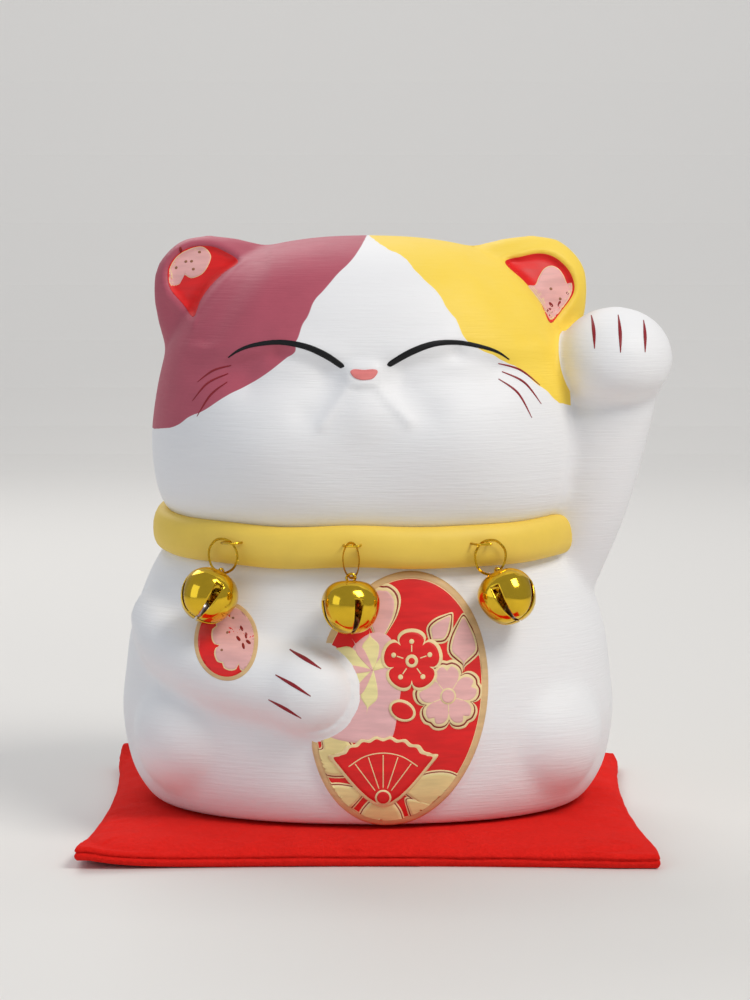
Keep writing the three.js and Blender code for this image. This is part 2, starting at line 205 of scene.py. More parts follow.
class Paint:
    """A material and the nodes that feed its Principled shader."""

    def __init__(self, name):
        self.material = bpy.data.materials.new(name)
        self.material.use_nodes = True
        self.tree = self.material.node_tree
        self.shader = self.tree.nodes["Principled BSDF"]
        self.place = self.node("ShaderNodeTexCoord").outputs["Object"]

    def node(self, kind, settings=None, **inputs):
        """Adds a node: its settings first, then the values or links of its sockets by name."""
        node = self.tree.nodes.new(kind)
        for key, value in (settings or {}).items():
            if key == "stops":
                self.set_stops(node.color_ramp, value)
            else:
                setattr(node, key, value)
        for key, value in inputs.items():
            self.feed(self.socket(node, key), value)
        return node

    @staticmethod
    def socket(node, key):
        if key.startswith("n") and key[1:].isdigit():
            return node.inputs[int(key[1:])]
        return node.inputs[key.replace("_", " ")]

    @staticmethod
    def set_stops(ramp, stops):
        ramp.interpolation = "CARDINAL" if len(stops) > 4 else "LINEAR"
        while len(ramp.elements) < len(stops):
            ramp.elements.new(1.0)
        for element, (position, colour) in zip(ramp.elements, stops):
            element.position = position
            element.color = (*colour, 1.0) if len(colour) == 3 else colour

    def feed(self, socket, value):
        if isinstance(value, Wire):
            value = value.socket
        if isinstance(value, bpy.types.NodeSocket):
            self.tree.links.new(value, socket)
        elif socket.type == "RGBA" and len(value) == 3:
            socket.default_value = (*value, 1.0)
        else:
            socket.default_value = value

    def wire(self, socket):
        return Wire(self, socket)

    def math(self, operation, first, second=0.0):
        node = self.node("ShaderNodeMath", {"operation": operation}, n0=first, n1=second)
        return self.wire(node.outputs[0])

    def coords(self):
        """The three Object coordinates in millimetres."""
        parts = self.node("ShaderNodeSeparateXYZ", Vector=self.place)
        return [self.wire(parts.outputs[i]) / MM for i in range(3)]

    def attribute(self, name):
        node = self.node("ShaderNodeAttribute", {"attribute_name": name})
        return self.wire(node.outputs["Fac"])

    def noise(self, scale, detail=2.0, roughness=0.5, stretch=(1, 1, 1)):
        """Noise from 0 to 1; scale is in cells per metre, and stretch slows it down along an axis."""
        at = self.node("ShaderNodeMapping", {}, Vector=self.place, Scale=[scale / s for s in stretch])
        node = self.node("ShaderNodeTexNoise", {}, Vector=at.outputs[0], Scale=1.0, Detail=detail, Roughness=roughness)
        return self.wire(node.outputs["Fac"])

    def blend(self, share, first, second, mode="MIX"):
        """Mixes two colours."""
        node = self.node("ShaderNodeMix", {"data_type": "RGBA", "blend_type": mode}, n0=share, n6=first, n7=second)
        return node.outputs[2]

    def smooth(self, value, low, high):
        """0 below low, 1 above high, and a smooth step between."""
        node = self.node("ShaderNodeMapRange", {"interpolation_type": "SMOOTHSTEP"},
                         Value=value, From_Min=low, From_Max=high)
        return self.wire(node.outputs[0])

    def ramp(self, value, stops):
        node = self.node("ShaderNodeValToRGB", {"stops": stops}, Fac=value)
        return node.outputs[0]

    def bump(self, height, strength, distance=0.0002):
        node = self.node("ShaderNodeBump", {}, Height=height, Strength=strength, Distance=distance)
        self.feed(self.shader.inputs["Normal"], node.outputs[0])

    def set(self, **inputs):
        for key, value in inputs.items():
            self.feed(self.shader.inputs[key.replace("_", " ")], value)
        return self.material


# ---------------------------------------------------------------- making meshes


def smooth_curve(rows, count):
    """Points along a smooth curve through rows of numbers, evenly spread over the rows."""
    points = []
    for i in range(count):
        place = i / (count - 1) * (len(rows) - 1)
        k = min(int(place), len(rows) - 2)
        before, start, end, after = (rows[min(max(k + j, 0), len(rows) - 1)] for j in (-1, 0, 1, 2))
        points.append([hermite(*values, place - k) for values in zip(before, start, end, after)])
    return points


def hermite(a, b, c, d, t):
    """The Catmull-Rom curve from b to c."""
    v0, v1 = (c - a) / 2, (d - b) / 2
    return (2 * b - 2 * c + v0 + v1) * t**3 + (3 * c - 3 * b - 2 * v0 - v1) * t**2 + v0 * t + b


def tree_of(bm):
    return BVHTree.FromBMesh(bm)


def finish_piece(bm, name, material, body, node=None, smooth=True):
    """Turns a mesh in millimetres into a finished piece in metres that rides on a body."""
    bmesh.ops.scale(bm, vec=(MM, MM, MM), verts=bm.verts)
    for face in bm.faces:
        face.smooth = smooth
    mesh = bpy.data.meshes.new(name)
    bm.to_mesh(mesh)
    bm.free()
    piece = bpy.data.objects.new(name, mesh)
    bpy.context.scene.collection.objects.link(piece)
    mesh.materials.append(material)
    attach(piece, body)
    if node:
        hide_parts(*([node] if isinstance(node, str) else node))
    return piece


def apply_modifiers(piece):
    """Replaces a piece's mesh by what its modifiers make of it."""
    shown = piece.evaluated_get(bpy.context.evaluated_depsgraph_get())
    mesh = bpy.data.meshes.new_from_object(shown)
    piece.modifiers.clear()
    old, piece.data = piece.data, mesh
    bpy.data.meshes.remove(old)


def through_modifier(bm, kind, **settings):
    """Runs one modifier on a mesh and returns the new mesh."""
    mesh = bpy.data.meshes.new("work")
    bm.to_mesh(mesh)
    bm.free()
    work = bpy.data.objects.new("work", mesh)
    bpy.context.scene.collection.objects.link(work)
    modifier = work.modifiers.new("work", kind)
    for key, value in settings.items():
        setattr(modifier, key, value)
    apply_modifiers(work)
    result = bmesh.new()
    result.from_mesh(work.data)
    data = work.data
    bpy.data.objects.remove(work)
    bpy.data.meshes.remove(data)
    return result


def cut_away(bm, cutter):
    """Takes the cutter's solid out of a mesh."""
    mesh = bpy.data.meshes.new("cutter")
    cutter.to_mesh(mesh)
    cutter.free()
    tool = bpy.data.objects.new("cutter", mesh)
    bpy.context.scene.collection.objects.link(tool)
    result = through_modifier(bm, "BOOLEAN", object=tool, operation="DIFFERENCE", solver="MANIFOLD")
    bpy.data.objects.remove(tool)
    bpy.data.meshes.remove(mesh)
    return result


def transform(bm, verts, matrix):
    bmesh.ops.transform(bm, matrix=matrix, verts=verts)


def add_ball(bm, centre, radii, turn=(0, 0, 0), across=48, up=32):
    made = bmesh.ops.create_uvsphere(bm, u_segments=across, v_segments=up, radius=1)
    turned = Matrix.Identity(3)
    for axis, angle in zip("XYZ", turn):
        turned = Matrix.Rotation(math.radians(angle), 3, axis) @ turned
    matrix = Matrix.Translation(centre) @ turned.to_4x4() @ Matrix.Diagonal((*radii, 1))
    transform(bm, made["verts"], matrix)
    return made["verts"]


def add_limb(bm, rows, around=40, steps=40):
    """A limb through rows of x, y, z and radius, swept as a growing and turning circle, with flat ends."""
    points = smooth_curve(rows, steps)
    made = bmesh.ops.create_circle(bm, segments=around, radius=1, cap_ends=True)
    ring = made["verts"]
    was = Matrix.Identity(4)
    heading, turn = Vector((0, 0, 1)), Quaternion()
    face = ring[0].link_faces[0]
    for i, (x, y, z, radius) in enumerate(points):
        ahead = Vector(points[min(i + 1, steps - 1)][:3]) - Vector(points[max(i - 1, 0)][:3])
        turn = heading.rotation_difference(ahead) @ turn
        heading = ahead
        place = Matrix.Translation((x, y, z)) @ turn.to_matrix().to_4x4()
        now = place @ Matrix.Diagonal((radius, radius, radius, 1))
        if i:
            extruded = bmesh.ops.extrude_face_region(bm, geom=[face], use_keep_orig=(i == 1))
            face = next(item for item in extruded["geom"] if isinstance(item, bmesh.types.BMFace))
            ring = list(face.verts)
        transform(bm, ring, now @ was.inverted())
        was = now
    bmesh.ops.recalc_face_normals(bm, faces=bm.faces)


# ---------------------------------------------------------------- the cat's forms

# Each row: share of the half width, of the depth in front, of the depth behind, and of the height.
BODY_ROWS = [
    (0.86, 0.92, 0.82, 0), (0.905, 0.95, 0.88, 0.035), (0.966, 0.985, 0.96, 0.13), (1, 1, 1, 0.3),
    (0.985, 0.965, 0.98, 0.45), (0.965, 0.92, 0.945, 0.58), (0.915, 0.87, 0.885, 0.72),
    (0.84, 0.815, 0.8, 0.85), (0.7, 0.7, 0.68, 1),
]
HEAD_ROWS = [
    (0.84, 0.84, 0.84, 0), (0.94, 0.925, 0.92, 0.07), (0.983, 0.975, 0.965, 0.16), (1, 1, 1, 0.3),
    (0.985, 0.98, 1, 0.42), (0.955, 0.935, 0.99, 0.54), (0.905, 0.895, 0.95, 0.66), (0.82, 0.82, 0.87, 0.78),
    (0.7, 0.7, 0.73, 0.88), (0.5, 0.5, 0.52, 0.955), (0.25, 0.25, 0.26, 0.991), (0, 0, 0, 1),
]
BODY_DEPTHS = (65.5, 63)  # in front and behind
HEAD_DEPTHS = (61.5, 55)
BODY_HEIGHT = 90
HEAD_HEIGHT = CAT_HIGH.z - FOOT - 85
HEAD_BASE = CAT_HIGH.z - HEAD_HEIGHT
NECK = HEAD_BASE - 0.4


def rounded(angle, squareness, half_width, front, back):
    """A point on a superellipse that is deeper in front than behind."""
    c, s = math.cos(angle), math.sin(angle)
    reach = (abs(c) ** squareness + abs(s) ** squareness) ** (-1 / squareness)
    return reach * c * half_width, reach * s * (front if s < 0 else back)


def add_form(bm, rows, half_width, depths, squareness, base, height, inset=0.0, low=-1e9, high=1e9):
    """A rounded form: a ball whose levels are moved onto the rows. inset makes it smaller all round."""
    around, levels = 96, 64
    made = bmesh.ops.create_uvsphere(bm, u_segments=around, v_segments=levels, radius=1)
    sections = smooth_curve(rows, levels - 1)
    for vert in made["verts"]:
        level = round((1 - math.acos(max(-1, min(1, vert.co.z))) / math.pi) * levels) - 1
        side, front, back, up = sections[min(max(level, 0), levels - 2)]
        centre = level < 0 or level > levels - 2
        wholes = (side, half_width), (front, depths[0]), (back, depths[1])
        size = [max(share * whole - inset, 0) for share, whole in wholes]
        x, y = (0, 0) if centre else rounded(math.atan2(vert.co.y, vert.co.x), squareness, *size)
        vert.co = (x, y, min(max(base + up * height, low), high))
    bmesh.ops.recalc_face_normals(bm, faces=list({f for v in made["verts"] for f in v.link_faces}))


def add_body(bm, inset=0.0, low=-1e9):
    width = bpy.context.scene.cat_sizes.body_half_width / MM
    add_form(bm, BODY_ROWS, width, BODY_DEPTHS, 2.3, FOOT, BODY_HEIGHT, inset, low)


def add_head(bm, inset=0.0, high=1e9):
    width = bpy.context.scene.cat_sizes.head_half_width / MM
    add_form(bm, HEAD_ROWS, width, HEAD_DEPTHS, 2.5, HEAD_BASE, HEAD_HEIGHT, inset, -1e9, high)


def add_ear(bm, side):
    """A blunt cone, thinner from front to back, leaning out from the top of the head."""
    made = bmesh.ops.create_uvsphere(bm, u_segments=48, v_segments=40, radius=1)
    profile = [(0, -34), (27, -32), (24, -24), (18.6, -14), (14.4, -8), (10.6, -4), (7.4, -1.6), (4.4, -0.4), (0, 0)]
    rows = smooth_curve(profile, 41)
    for vert in made["verts"]:
        level = round((1 - math.acos(max(-1, min(1, vert.co.z))) / math.pi) * 40)
        radius, height = rows[level]
        angle = math.atan2(vert.co.y, vert.co.x)
        vert.co = (radius * math.cos(angle), 0.62 * radius * math.sin(angle), height)
    lean = Matrix.Rotation(math.radians(side * 46), 4, "Y")
    place = Matrix.Translation((63.6 if side > 0 else -62, -5, CAT_HIGH.z - 4.9))
    transform(bm, made["verts"], place @ lean)


def add_raised_arm(bm):
    up = FOOT
    add_limb(bm, [(52, -6, 54 + up, 12), (60, -12, 76 + up, 13.5), (67, -17, 98 + up, 14.6), (74.2, -21, 130 + up, 15)])
    add_ball(bm, (75.2, -25.5, 137.5 + up), (17.4, 19, 15.2), (12, 0, 0))


def add_lowered_arm(bm):
    up = FOOT
    add_limb(bm, [(-63, -14, 58 + up, 11), (-57, -36, 50.5 + up, 11.5), (-42, -50, 45 + up, 12.5),
                  (-22, -57.5, 41 + up, 13)])
    add_ball(bm, (-17.5, -61, 40.5 + up), (14.6, 12.5, 13.4), (0, 25, 0))


def add_tail(bm):
    up = FOOT
    add_limb(bm, [(22, 50, 9 + up, 8), (12, 58, 10 + up, 8.5), (-6, 62.5, 15 + up, 8.5), (-16, 62, 23 + up, 8.5)])
    add_ball(bm, (-16, 62, 23 + up), (8.5, 8, 8.5))


INNER_SKIN = 3.8  # millimetres under the head's surface, past which the clay is the bare inside
WALL = 4.5
DRAIN_RADIUS = 15
RECESS = (30, 4)  # radius and depth
COIN_SLOT = (36, 40, 3.6)
SLOT_BELOW_CROWN = 40


def add_drum(radius, low, high, segments=96):
    """A solid cylinder between two heights, on its own."""
    bm = bmesh.new()
    bmesh.ops.create_cone(bm, cap_ends=True, segments=segments, radius1=radius, radius2=radius, depth=high - low)
    bmesh.ops.translate(bm, verts=bm.verts, vec=(0, 0, (low + high) / 2))
    return bm


def hollow_out(bm):
    """Takes out the inside, the recess and drain hole in the foot, and the coin slot."""
    inner = bmesh.new()
    add_body(inner, WALL, FOOT + RECESS[1] + WALL)
    add_head(inner, WALL, CAT_HIGH.z - WALL)
    inner = through_modifier(inner, "REMESH", mode="VOXEL", voxel_size=2.4)
    for _ in range(6):
        bmesh.ops.smooth_vert(inner, verts=inner.verts, factor=0.5, use_axis_x=True, use_axis_y=True, use_axis_z=True)
    bm = cut_away(bm, inner)
    bm = cut_away(bm, add_drum(RECESS[0], FOOT - 2, FOOT + RECESS[1]))
    bm = cut_away(bm, add_drum(DRAIN_RADIUS, FOOT, FOOT + RECESS[1] + WALL + 2))
    slot = bmesh.new()
    made = bmesh.ops.create_cube(slot, size=1)["verts"]
    place = Matrix.Translation((0, HEAD_DEPTHS[1] - 8, CAT_HIGH.z - SLOT_BELOW_CROWN))
    transform(slot, made, place @ Matrix.Diagonal((*COIN_SLOT, 1)))
    return cut_away(bm, slot)


def body_front():
    """The front of the body as a function of x and z."""
    width = bpy.context.scene.cat_sizes.body_half_width / MM
    return front_of_rows(BODY_ROWS, width, BODY_DEPTHS[0], 2.3, FOOT, BODY_HEIGHT)


def fused_clay():
    """All the cat's forms fused into one skin, with soft joins."""
    sizes = bpy.context.scene.cat_sizes
    bm = bmesh.new()
    add_body(bm)
    add_head(bm)
    for side in (-1, 1):
        add_ear(bm, side)
        add_ball(bm, (side * 46, -30, 24 + FOOT), (24.6, 26.6, 23), (0, 0, side * 38))
    add_raised_arm(bm)
    add_lowered_arm(bm)
    add_tail(bm)
    bm = through_modifier(bm, "REMESH", mode="VOXEL", voxel_size=sizes.clay_grain / MM)
    for _ in range(sizes.smoothing):
        bmesh.ops.smooth_vert(bm, verts=bm.verts, factor=0.5, use_axis_x=True, use_axis_y=True, use_axis_z=True)
    return bm


# ---------------------------------------------------------------- the stage


def new_light(name, place, target, size, power, colour):
    light = bpy.data.lights.new(name, "AREA")
    light.shape = "RECTANGLE"
    light.size, light.size_y = size
    light.energy = power
    light.color = colour
    lamp = bpy.data.objects.new(name, light)
    lamp.location = place
    lamp.rotation_euler = (Vector(target) - Vector(place)).to_track_quat("-Z", "Y").to_euler()
    bpy.context.scene.collection.objects.link(lamp)


class FIGURINE_OT_stage(bpy.types.Operator):
    """Make the floor, the studio light and the camera"""

    bl_idname = "figurine.stage"
    bl_label = "Stage"

    def execute(self, context):
        sizes = context.scene.stage_sizes
        context.scene.view_settings.view_transform = "Standard"
        self.make_floor()
        world = bpy.data.worlds.new("studio")
        world.use_nodes = True
        world.node_tree.nodes["Background"].inputs["Color"].default_value = (0.90, 0.93, 1.0, 1.0)
        world.node_tree.nodes["Background"].inputs["Strength"].default_value = 0.40
        context.scene.world = world
        middle = (0, 0, 0.09)
        new_light("key_light", (0.62, -0.62, 1.05), middle, (0.5, 0.5), 9.4, (1.0, 0.965, 0.91))
        new_light("fill_light", (-1.1, -0.7, 0.5), middle, (0.9, 0.9), 2.4, (0.80, 0.89, 1.0))
        new_light("back_light", (-0.4, 0.9, 0.9), middle, (0.8, 0.5), 4, (1.0, 0.98, 0.95))
        new_light("wall_light", (0, 1.0, 1.9), (0, 2.4, 0.5), (2.4, 0.6), 16, (1.0, 0.99, 0.97))
        self.make_camera(sizes)
        return {"FINISHED"}

    @staticmethod
    def make_floor():
        bm = bmesh.new()
        bmesh.ops.create_grid(bm, x_segments=1, y_segments=80, size=4.0)
        for vert in bm.verts:
            past = max(0, vert.co.y - 1.4)  # the far edge curves up into a backdrop
            turn = min(past / 0.9, math.pi / 2)
            if past:
                vert.co.y = 1.4 + 0.9 * math.sin(turn)
                vert.co.z = 0.9 * (1 - math.cos(turn)) + max(0, past - 0.9 * math.pi / 2)
        mesh = bpy.data.meshes.new("floor")
        bm.to_mesh(mesh)
        bm.free()
        floor = bpy.data.objects.new("floor", mesh)
        bpy.context.scene.collection.objects.link(floor)
        paint = Paint("floor_paint")
        mesh.materials.append(paint.set(Base_Color=(0.74, 0.725, 0.70), Roughness=0.6))

    @staticmethod
    def make_camera(sizes):
        data = bpy.data.cameras.new("camera")
        data.lens = 109.8
        data.sensor_width = 36
        camera = bpy.data.objects.new("camera", data)
        camera.location = (2.2 * MM, -sizes.distance, sizes.eye_height)
        camera.rotation_euler = (math.pi / 2 - sizes.pitch, 0, 0)
        bpy.context.scene.collection.objects.link(camera)
        bpy.context.scene.camera = camera


# ---------------------------------------------------------------- the cat


def clay_paint(sizes):
    """Matt white with brushed-on patches: mauve over one ear, yellow over the other."""
    paint = Paint("painted_clay")
    x, _, z = paint.coords()
    wave = (paint.noise(180, 2) - 0.5) * 0.7
    head = paint.smooth(paint.attribute("head_side"), -0.15, 0.15)
    mauve = patch_mask(paint, x + wave, z + wave, MAUVE_EDGE, -1) * head
    yellow = patch_mask(paint, x + wave, z + wave, YELLOW_EDGE, 1) * head
    strokes = paint.noise(90, 3, 0.6, (14, 14, 1))
    fine = paint.noise(900, 2, 0.6, (5, 5, 1))
    white = paint.blend(strokes, [c * 0.97 for c in sizes.brush_white], sizes.brush_white)
    dark, pale = [c * 0.88 for c in sizes.mauve], [c * 1.08 for c in sizes.mauve]
    mauve_tone = paint.blend(paint.noise(120, 4, 0.65), dark, pale)
    yellow_tone = paint.blend(paint.noise(110, 4, 0.6), sizes.yellow, [0.94, 0.68, 0.10])
    colour = paint.blend(mauve, white, mauve_tone)
    colour = paint.blend(yellow, colour, yellow_tone)
    bristles = paint.smooth(paint.noise(1500, 3, 0.65, (22, 22, 1)), 0.3, 0.7)
    paint.bump(strokes * 0.4 + bristles * 0.45 + fine * 0.5, 0.55, 0.00016)
    return paint.set(Base_Color=colour, Roughness=fine * 0.12 + 0.5)


# Where a patch ends at each height: millimetres over the foot, then millimetres from the middle.
MAUVE_EDGE = [(174.2, 0.4), (165, -6.7), (157, -14.1), (149.7, -18.2), (143.5, -20.9), (138.6, -23.6),
              (129, -37.7), (121.6, -50.5), (116.5, -60), (113, -75)]
YELLOW_EDGE = [(174.2, 0.4), (168.5, 9.6), (160, 18.2), (150.8, 25), (143.3, 29.4), (139.3, 36.2),
               (135.8, 43.6), (129.6, 51.6), (124.2, 57.8), (121.5, 66)]


def patch_mask(paint, x, z, edge, side):
    """1 inside the patch that lies beyond an edge line on one side of the head."""
    low, high, reach = edge[-1][0] + FOOT, edge[0][0] + FOOT, 80
    stops = [((over - edge[-1][0]) / (high - low), (abs(at) / reach,) * 3) for over, at in reversed(edge)]
    level = paint.ramp((z - low) / (high - low), stops)
    line = paint.wire(paint.node("ShaderNodeSeparateXYZ", Vector=level).outputs[0]) * reach
    beyond = paint.smooth(x * side - line, -0.2, 0.2)
    return beyond * paint.smooth(z, low - 0.2, low + 0.2)


class FIGURINE_OT_cat(bpy.types.Operator):
    """Model the ceramic cat and brush its patches on"""

    bl_idname = "figurine.cat"
    bl_label = "Ceramic cat"

    def execute(self, context):
        sizes = context.scene.cat_sizes
        bm = fused_clay()
        mould_ears(bm)
        mould_koban(bm, body_front())
        for _ in range(2):
            bmesh.ops.smooth_vert(bm, verts=bm.verts, factor=0.4, use_axis_x=True, use_axis_y=True, use_axis_z=True)
        mould_face(bm)
        mould_paw(bm)
        bm = hollow_out(bm)
        self.mark_head(bm)
        finish_piece(bm, "cat", clay_paint(sizes), "cat", "cat_shell")
        return {"FINISHED"}

    @staticmethod
    def mark_head(bm):
        """Stores how much nearer each point is to the head and ears than to the raised arm."""
        arm, head = bmesh.new(), bmesh.new()
        add_raised_arm(arm)
        add_head(head)
        add_ear(head, 1)
        add_ear(head, -1)
        arm_tree, head_tree = tree_of(arm), tree_of(head)
        layer = bm.verts.layers.float.new("head_side")
        for vert in bm.verts:
            to_arm = arm_tree.find_nearest(vert.co)[3]
            to_head = head_tree.find_nearest(vert.co)[3]
            inside = to_head > INNER_SKIN
            vert[layer] = -1.0 if inside else to_arm - to_head
        arm.free()
        head.free()


# ---------------------------------------------------------------- painted shapes


def closed_curve(points):
    """A smooth closed curve through points, as a function of a share from 0 to 1 of the way round."""
    count = len(points)

    def at(share):
        place = (share % 1) * count
        k = int(place)
        around = (points[(k + j) % count] for j in (-1, 0, 1, 2))
        return [hermite(*values, place - k) for values in zip(*around)]

    return at


def oval(x, z, half_width, half_height, lean=0.0):
    """An ellipse whose top leans towards +X."""
    c, s = math.cos(math.radians(lean)), math.sin(math.radians(lean))

    def at(share):
        across = half_width * math.cos(2 * math.pi * share)
        up = half_height * math.sin(2 * math.pi * share)
        return x + across * c + up * s, z - across * s + up * c

    return at


def blossom(x, z, radius, lobes=5, turn=90.0, waist=0.6, notch=0.16):
    """A flower with round petals, each notched at its tip."""

    def at(share):
        angle = 2 * math.pi * share
        phase = (angle - math.radians(turn)) * lobes / (2 * math.pi)
        off = abs(phase - round(phase)) * 2  # 0 at a petal's tip and 1 between two petals
        reach = waist + (1 - waist) * math.sqrt(max(0, 1 - off**2.6))
        reach -= notch * max(0, 1 - off / 0.24)
        return x + radius * reach * math.cos(angle), z + radius * reach * math.sin(angle)

    return at


def petal(x, z, length, width, turn, notch=0.0, tip=0.0):
    """A petal from its root: it widens towards a round, notched or pointed end."""
    rows = [(0, 0.12), (0.18, 0.46), (0.45, 0.86), (0.72, 1), (0.9, 0.8 - 0.4 * tip), (1, 0.36 - 0.3 * tip)]
    outline = [(length * along, width / 2 * wide) for along, wide in rows]
    outline += [(length * (1 - notch + 0.16 * tip), 0)]
    outline += [(along, -wide) for along, wide in reversed(outline[:-1])]
    c, s = math.cos(math.radians(turn)), math.sin(math.radians(turn))
    return closed_curve([(x + a * c - w * s, z + a * s + w * c) for a, w in outline])


def kept_inside(x, z, half_width, half_height, lean):
    """A function that pulls any point beyond an ellipse back onto it."""
    c, s = math.cos(math.radians(lean)), math.sin(math.radians(lean))

    def within(px, pz):
        dx, dz = px - x, pz - z
        share = math.hypot((dx * c - dz * s) / half_width, (dx * s + dz * c) / half_height)
        pull = min(1, 1 / max(share, 1e-6))
        return x + dx * pull, z + dz * pull

    return within


def middle_of(edge):
    points = [edge(i / 24) for i in range(24)]
    return [sum(values) / 24 for values in zip(*points)]


def grown(edge, by):
    """The same outline, moved outwards from its middle."""
    cx, cz = middle_of(edge)

    def at(share):
        x, z = edge(share)
        reach = math.hypot(x - cx, z - cz) or 1
        return x + (x - cx) / reach * by, z + (z - cz) / reach * by

    return at


def add_patch(bm, edge, front, lift, sunk=0.5, around=72, rings=12, within=None):
    """A thin closed patch on a surface that faces the front: a flattened ball inside an outline."""
    cx, cz = middle_of(edge)
    made = bmesh.ops.create_uvsphere(bm, u_segments=around, v_segments=2 * rings, radius=1)
    for vert in made["verts"]:
        level = round(math.acos(max(-1, min(1, vert.co.z))) / math.pi * 2 * rings)
        steps = min(level, 2 * rings - level)
        share = 1 if steps == rings else steps / (rings - 1) * 0.985
        x, z = edge(math.atan2(vert.co.y, vert.co.x) / (2 * math.pi))
        x, z = cx + (x - cx) * share, cz + (z - cz) * share
        if within:
            x, z = within(x, z)
        depth = sunk if level > rings else -lift if level < rings else -lift * 0.5
        vert.co = (x, front(x, z) + depth, z)
    bmesh.ops.recalc_face_normals(bm, faces=list({f for v in made["verts"] for f in v.link_faces}))


def add_stroke(bm, rows, front, lift=0.14, sunk=0.4, steps=28):
    """A painted line through rows of x, z and width, on a surface that faces the front."""
    points = smooth_curve(rows, steps + 1)
    made = bmesh.ops.create_grid(bm, x_segments=steps, y_segments=4, size=1)
    for vert in made["verts"]:
        i = round((vert.co.x + 1) / 2 * steps)
        before, after = points[max(i - 1, 0)], points[min(i + 1, steps)]
        along = Vector((after[0] - before[0], after[1] - before[1])).normalized()
        x, z, width = points[i]
        across = vert.co.y * width / 2
        x, z = x - along.y * across, z + along.x * across
        vert.co = (x, front(x, z) - lift + 0.06 * vert.co.y**2, z)
    faces = list({f for v in made["verts"] for f in v.link_faces})
    extruded = bmesh.ops.extrude_face_region(bm, geom=faces, use_keep_orig=True)
    moved = [item for item in extruded["geom"] if isinstance(item, bmesh.types.BMVert)]
    bmesh.ops.translate(bm, verts=moved, vec=(0, lift + sunk, 0))
    bmesh.ops.recalc_face_normals(bm, faces=list({f for v in made["verts"] + moved for f in v.link_faces}))


def front_of(tree):
    """The height of a surface seen from the front, as a function of x and z."""

    def at(x, z):
        hit = tree.ray_cast(Vector((x, -200, z)), Vector((0, 1, 0)))[0]
        return hit.y if hit else 0.0

    return at


def front_of_rows(rows, half_width, depth, squareness, base, height):
    """The exact front of a form, as a function of x and z."""
    table = [(base + height * row[3], row[0] * half_width, row[1] * depth) for row in smooth_curve(rows, 400)]

    heights = [row[0] for row in table]

    def at(x, z):
        k = min(max(bisect.bisect(heights, z), 1), len(table) - 1)
        share = (z - heights[k - 1]) / (heights[k] - heights[k - 1])
        side, front = (a + (b - a) * share for a, b in zip(table[k - 1][1:], table[k][1:]))
        return -front * max(0, 1 - abs(x / side) ** squareness) ** (1 / squareness)

    return at


def paint_of(name, colour, rough=0.42, grain=0.10):
    """Brushed acrylic colour."""
    paint = Paint(name)
    colour = list(colour)
    streaks = paint.smooth(paint.noise(420, 3, 0.6, (6, 6, 1)), 0.25, 0.75)
    dark, light = [c * (1 - grain) for c in colour], [min(c * (1 + grain), 1) for c in colour]
    paint.bump(streaks, 0.12, 0.0001)
    paint.set(Specular_IOR_Level=0.3)
    return paint.set(Base_Color=paint.blend(streaks, dark, light), Roughness=streaks * 0.1 + rough)


# ---------------------------------------------------------------- the face


def near_line(x, z, ax, az, bx, bz):
    """The distance from a point to a line between two points."""
    dx, dz = bx - ax, bz - az
    share = max(0, min(1, ((x - ax) * dx + (z - az) * dz) / (dx * dx + dz * dz)))
    return math.hypot(x - ax - share * dx, z - az - share * dz)


def swell(distance, width):
    return math.exp(-((distance / width) ** 2))


# Lines of the face's relief: from, to, half width and height.
FACE_LINES = [
    (-6.4, 137.5, -13.4, 127, 1.5, 0.85), (3.8, 137.5, 12.4, 127.8, 1.5, 0.85),
    (-12, 138, -18, 131, 5.2, -1.5), (9.4, 138, 17, 131.5, 5.2, -1.5),
    (-14, 140.5, -34, 140, 6, -1.9), (11, 140.7, 36, 140.5, 6, -1.9),
    (-36, 140, -50, 143.5, 5.2, -1.3), (38, 140.5, 51, 143.5, 5.2, -1.3),
    (-26, 152, -10, 147, 3.5, 0.8), (24, 152, 9, 147.5, 3.5, 0.8),
    (-41, 143.6, -26, 147.6, 2.6, -0.9), (-26, 147.6, -11, 143, 2.6, -0.9),
    (41, 143.4, 26, 147.6, 2.6, -0.9), (26, 147.6, 9.5, 143.2, 2.6, -0.9),
]
# Balls of the face's relief: x, z, half width and height.
FACE_BALLS = [(-33, 122, 16, 2.2), (31, 123, 16, 2.2), (-1.3, 130, 7, 1.4), (0, 112, 16, -0.8)]


def face_relief(x, z):
    """How far the face stands out at a point."""
    height = sum(h * swell(near_line(x, z, *ends), width) for *ends, width, h in FACE_LINES)
    height += sum(h * swell(math.hypot(x - cx, z - cz), width) for cx, cz, width, h in FACE_BALLS)
    square = (abs((x + 1.2) / 5.4) ** 3 + abs((z - 141.6) / 3.6) ** 3) ** (1 / 3)
    return height + 1.3 / (1 + math.exp((square - 1) * 12))


# The outlines of the red linings in the ears, as points of x and z.
EAR_LININGS = {
    -1: [(-60.8, 166.2), (-61.6, 170.9), (-60.4, 174.3), (-57.4, 177.3), (-53.6, 178.9), (-48.6, 179),
         (-44.8, 177.8), (-39.6, 174.4), (-43.6, 171.2), (-48, 166.8), (-50.8, 162.6), (-52.8, 157.8),
         (-56.9, 161.6)],
    1: [(42.0, 174), (47, 175.8), (52.5, 176.8), (57, 175.8), (61, 172.6), (63.2, 168.6), (63.2, 164.6),
        (60, 160), (55.6, 155.8), (52.6, 161.8), (48, 168)],
}


